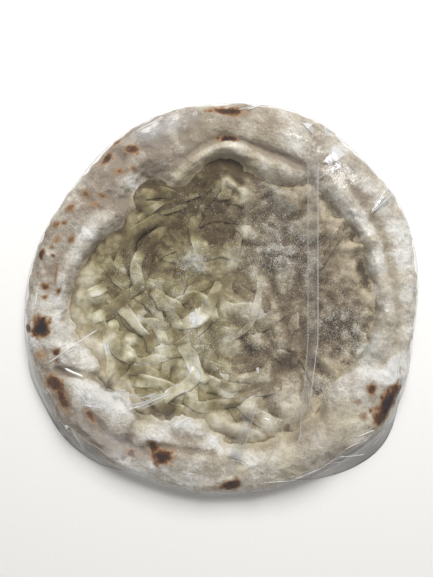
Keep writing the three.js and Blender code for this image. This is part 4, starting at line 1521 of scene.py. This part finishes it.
class PIZZA_OT_make_film(bpy.types.Operator):
    """Draws the film taut over the base and gathers it in a skirt and an underside"""

    bl_idname = "pizza.make_film"
    bl_label = "Make Film"

    def execute(self, context):
        settings = context.scene.pizza_film
        contents = ["crust_dough", "onion_bed", "onion_strips"]
        sheet = self.draw_taut(contents, settings.sag / MM)
        angles = angles_round(FILM_SEGMENTS)
        lip, rings = self.skirt(angles)
        rings += self.wall_and_top(tree_of(*contents), sheet, angles, lip)
        rings = [[np.broadcast_to(value, FILM_SEGMENTS) for value in ring] for ring in rings]
        radius, height, gather = np.moveaxis(np.array(rings), 1, 0)
        film = turned_body("shrink_film", radius, height, gather=gather)
        # Painted sheen: milky veils on the film where the window's reflection lies
        set_attribute(film, "haze", spot_tone(vertices_of(film), FILM_SHEEN_VEILS, FOLD_LEVEL))
        finish_piece(film, film_material(settings, "clear_shrink_film"), "film_wrap")
        return {"FINISHED"}

    def draw_taut(self, contents, sag):
        """The film's height over the base: taut, sagging a little, and never below what it covers."""
        sheet = GroundGrid(contents, FILM_PITCH)
        floor = sheet.top + FILM_CLEARANCE
        pull = 4 * sag / SAG_RADIUS ** 2 * FILM_PITCH ** 2
        film = np.maximum(floor, FILM_START_HEIGHT * (np.hypot(sheet.x, sheet.y) < FILM_START_RADIUS))
        for _ in range(FILM_ROUNDS):
            middle = (film[:-2, 1:-1] + film[2:, 1:-1] + film[1:-1, :-2] + film[1:-1, 2:]) / 4
            film[1:-1, 1:-1] = np.maximum(middle - pull / 4, floor[1:-1, 1:-1])
        sheet.top = film
        return sheet

    def skirt(self, angles):
        """Radius of the skirt's lip, and rings of the underside and the skirt: (radius, height, gather)."""
        solid = tree_of("film_wrap")
        lip = smooth_round(wall_radius(solid, angles, LIP_HEIGHT - LIP_DROP), FILM_SMOOTHING)
        foot = smooth_round(wall_radius(solid, angles, SKIRT_LEVEL), FILM_SMOOTHING)
        wing = np.clip(foot - lip + WING_ALLOWANCE, 0, None)
        draw = np.random.default_rng(PLEAT_SEED)
        pleat = smooth_round(draw.normal(size=(1, FILM_SEGMENTS)), PLEAT_SMOOTHING)[0]
        pleat *= PLEAT_DEPTH / np.abs(pleat).max() * np.minimum(1, PLEAT_LEAST + wing / PLEAT_WING)
        hills = [hill(turn_between(np.degrees(angles), middle), spread) for middle, spread in SHADED_WINGS]
        # Painted shade: grey on the skirt's wings
        grey = WING_SHADE_GREY * ease(wing, *WING_SHADE_WIDTHS) * np.maximum(*hills)
        rings = [(reach, UNDERSIDE_HEIGHT, 0) for reach in (0, 0.5 * foot, foot - UNDERSIDE_INSET)]
        for share in np.linspace(0, 1, FILM_SKIRT_RINGS + 1):
            reach = foot + (lip - foot) * share + math.sin(math.pi * share) * pleat
            level = SKIRT_FOOT + (LIP_HEIGHT - SKIRT_FOOT) * share ** SKIRT_CURVE
            rings.append((reach, level, grey * (1 - ease(share, *WING_SHADE_FADE))))
        return lip, rings

    def wall_and_top(self, contents, sheet, angles, lip):
        """Rings of the film's wall, close round the dough, and of its taut top: (radius, height, gather)."""
        join = smooth_round(wall_radius(contents, angles, EQUATOR + JOIN_HEIGHT) - JOIN_INSET, JOIN_SMOOTHING)
        crown = sheet.sample(join * np.cos(angles), join * np.sin(angles))
        rings = []
        for step in range(1, FILM_WALL_RINGS):
            level = LIP_HEIGHT + (crown - LIP_HEIGHT) * math.sin(step / FILM_WALL_RINGS * math.pi / 2)
            dough = wall_radius(contents, angles, np.minimum(level, crown - WALL_BELOW_CROWN))
            wall = np.maximum(smooth_round(dough, FILM_SMOOTHING), dough) + 2 * FILM_CLEARANCE
            rings.append((np.maximum(np.minimum(wall, lip), join + FILM_CLEARANCE), level, 0))
        for step in range(FILM_TOP_RINGS):
            reach = join * (1 - step / (FILM_TOP_RINGS - 1))
            rings.append((reach, sheet.sample(reach * np.cos(angles), reach * np.sin(angles)), 0))
        return rings


class PIZZA_OT_make_film_creases(bpy.types.Operator):
    """Lays the film's creases, seams, overlaps and facets on its sheet, with glints painted into their
    milkiness
    """

    bl_idname = "pizza.make_film_creases"
    bl_label = "Make Film Creases"

    def execute(self, context):
        film = tree_of("shrink_film")
        places, faces, haze = [], [], []
        shapes = [(*self.crease(film, *crease), opaque_share) for *crease, opaque_share in FILM_CREASES]
        shapes += [(*self.facet(film, corners), opaque_share) for corners, opaque_share in FILM_FACETS]
        for points, sides, opaque_share in shapes:
            start = len(places)
            faces += [[corner + start for corner in side] for side in sides]
            places += points
            haze += [opaque_share] * len(points)
        creases = mesh_piece("film_creases", places, faces)
        turn_faces_out()
        bpy.ops.object.shade_flat()
        set_attribute(creases, "haze", haze)
        set_attribute(creases, "gather", np.zeros(len(places)))
        finish_piece(creases, film_material(context.scene.pizza_film, "pleated_film_and_glints"))
        return {"FINISHED"}

    def crease(self, film, line, width, height):
        """A tent of film along a line: its places and faces."""
        run = np.concatenate([[0], np.cumsum(np.hypot(*np.diff(line, axis=0).T))])
        steps = np.linspace(0, run[-1], max(3, int(run[-1] / CREASE_STEP)))
        pixels = along_line(line, run, steps)
        spots = smooth_down(np.array([photo_point(film, *pixel) for pixel in pixels]), 1)
        ahead = np.gradient(spots, axis=0)
        side = np.stack([-ahead[:, 1], ahead[:, 0]], axis=1)
        side /= np.linalg.norm(side, axis=1, keepdims=True)
        points = []
        for (x, y, z), across, share in zip(spots, side, np.linspace(0, 1, len(spots))):
            full = min(1, CREASE_TAPER * share, CREASE_TAPER * (1 - share))
            out_x, out_y = 0.5 * width * (CREASE_TIP + (1 - CREASE_TIP) * full) * across
            points.append((x - out_x, y - out_y, z - CREASE_FOOT))
            points.append((x, y, z + height))
            points.append((x + out_x, y + out_y, z - CREASE_FOOT))
        sides = [[0, 1, 2], [len(points) - 3, len(points) - 1, len(points) - 2]]
        for start in range(0, len(points) - 3, 3):
            for left, right in ((0, 1), (1, 2), (2, 0)):
                sides.append([start + left, start + right, start + right + 3, start + left + 3])
        return points, sides

    def facet(self, film, corners):
        """A shallow tent of film between its corners: its places and faces."""
        steps = np.arange(0, len(corners), 1 / FACET_STEPS)
        edge = along_line(corners + corners[:1], np.arange(len(corners) + 1), steps)
        count = len(edge)
        rim = [photo_point(film, *spot) for spot in edge]
        x, y, z = photo_point(film, *np.mean(corners, axis=0))
        points = [tuple(spot) for spot in rim]
        points += [(spot[0], spot[1], spot[2] + FACET_RISE / 2) for spot in rim]
        points += [(x, y, z + FACET_RISE), (x, y, z)]
        sides = []
        for corner in range(count):
            after = (corner + 1) % count
            sides.append([corner, after, after + count, corner + count])
            sides.append([corner + count, after + count, 2 * count])
            sides.append([after, corner, 2 * count + 1])
        return points, sides


class PIZZA_PT_panel(bpy.types.Panel):
    """Lists the steps that dress the pizza base"""

    bl_idname = "PIZZA_PT_panel"
    bl_label = "Pizza Base"
    bl_space_type = "VIEW_3D"
    bl_region_type = "UI"
    bl_category = "Pizza Base"

    def draw(self, context):
        for step in STEPS:
            self.layout.operator(step.bl_idname)


SETTINGS = {
    "pizza_dough": PizzaDoughSettings,
    "pizza_onion": PizzaOnionSettings,
    "pizza_film": PizzaFilmSettings,
    "pizza_stage": PizzaStageSettings,
}
STEPS = [
    PIZZA_OT_set_stage,
    PIZZA_OT_make_crust,
    PIZZA_OT_make_onion_bed,
    PIZZA_OT_make_onion_strips,
    PIZZA_OT_make_frost,
    PIZZA_OT_make_film,
    PIZZA_OT_make_film_creases,
]


def register():
    for name, settings in SETTINGS.items():
        bpy.utils.register_class(settings)
        setattr(bpy.types.Scene, name, PointerProperty(type=settings))
    for step in [*STEPS, PIZZA_PT_panel]:
        bpy.utils.register_class(step)


def unregister():
    for step in [PIZZA_PT_panel, *reversed(STEPS)]:
        bpy.utils.unregister_class(step)
    for name, settings in SETTINGS.items():
        delattr(bpy.types.Scene, name)
        bpy.utils.unregister_class(settings)


def main():
    register()
    bpy.ops.pizza.set_stage()
    bpy.ops.pizza.make_crust()
    bpy.ops.pizza.make_onion_bed()
    bpy.ops.pizza.make_onion_strips()
    bpy.ops.pizza.make_frost()
    bpy.ops.pizza.make_film()
    bpy.ops.pizza.make_film_creases()
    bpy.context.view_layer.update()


if __name__ == "__main__":
    main()
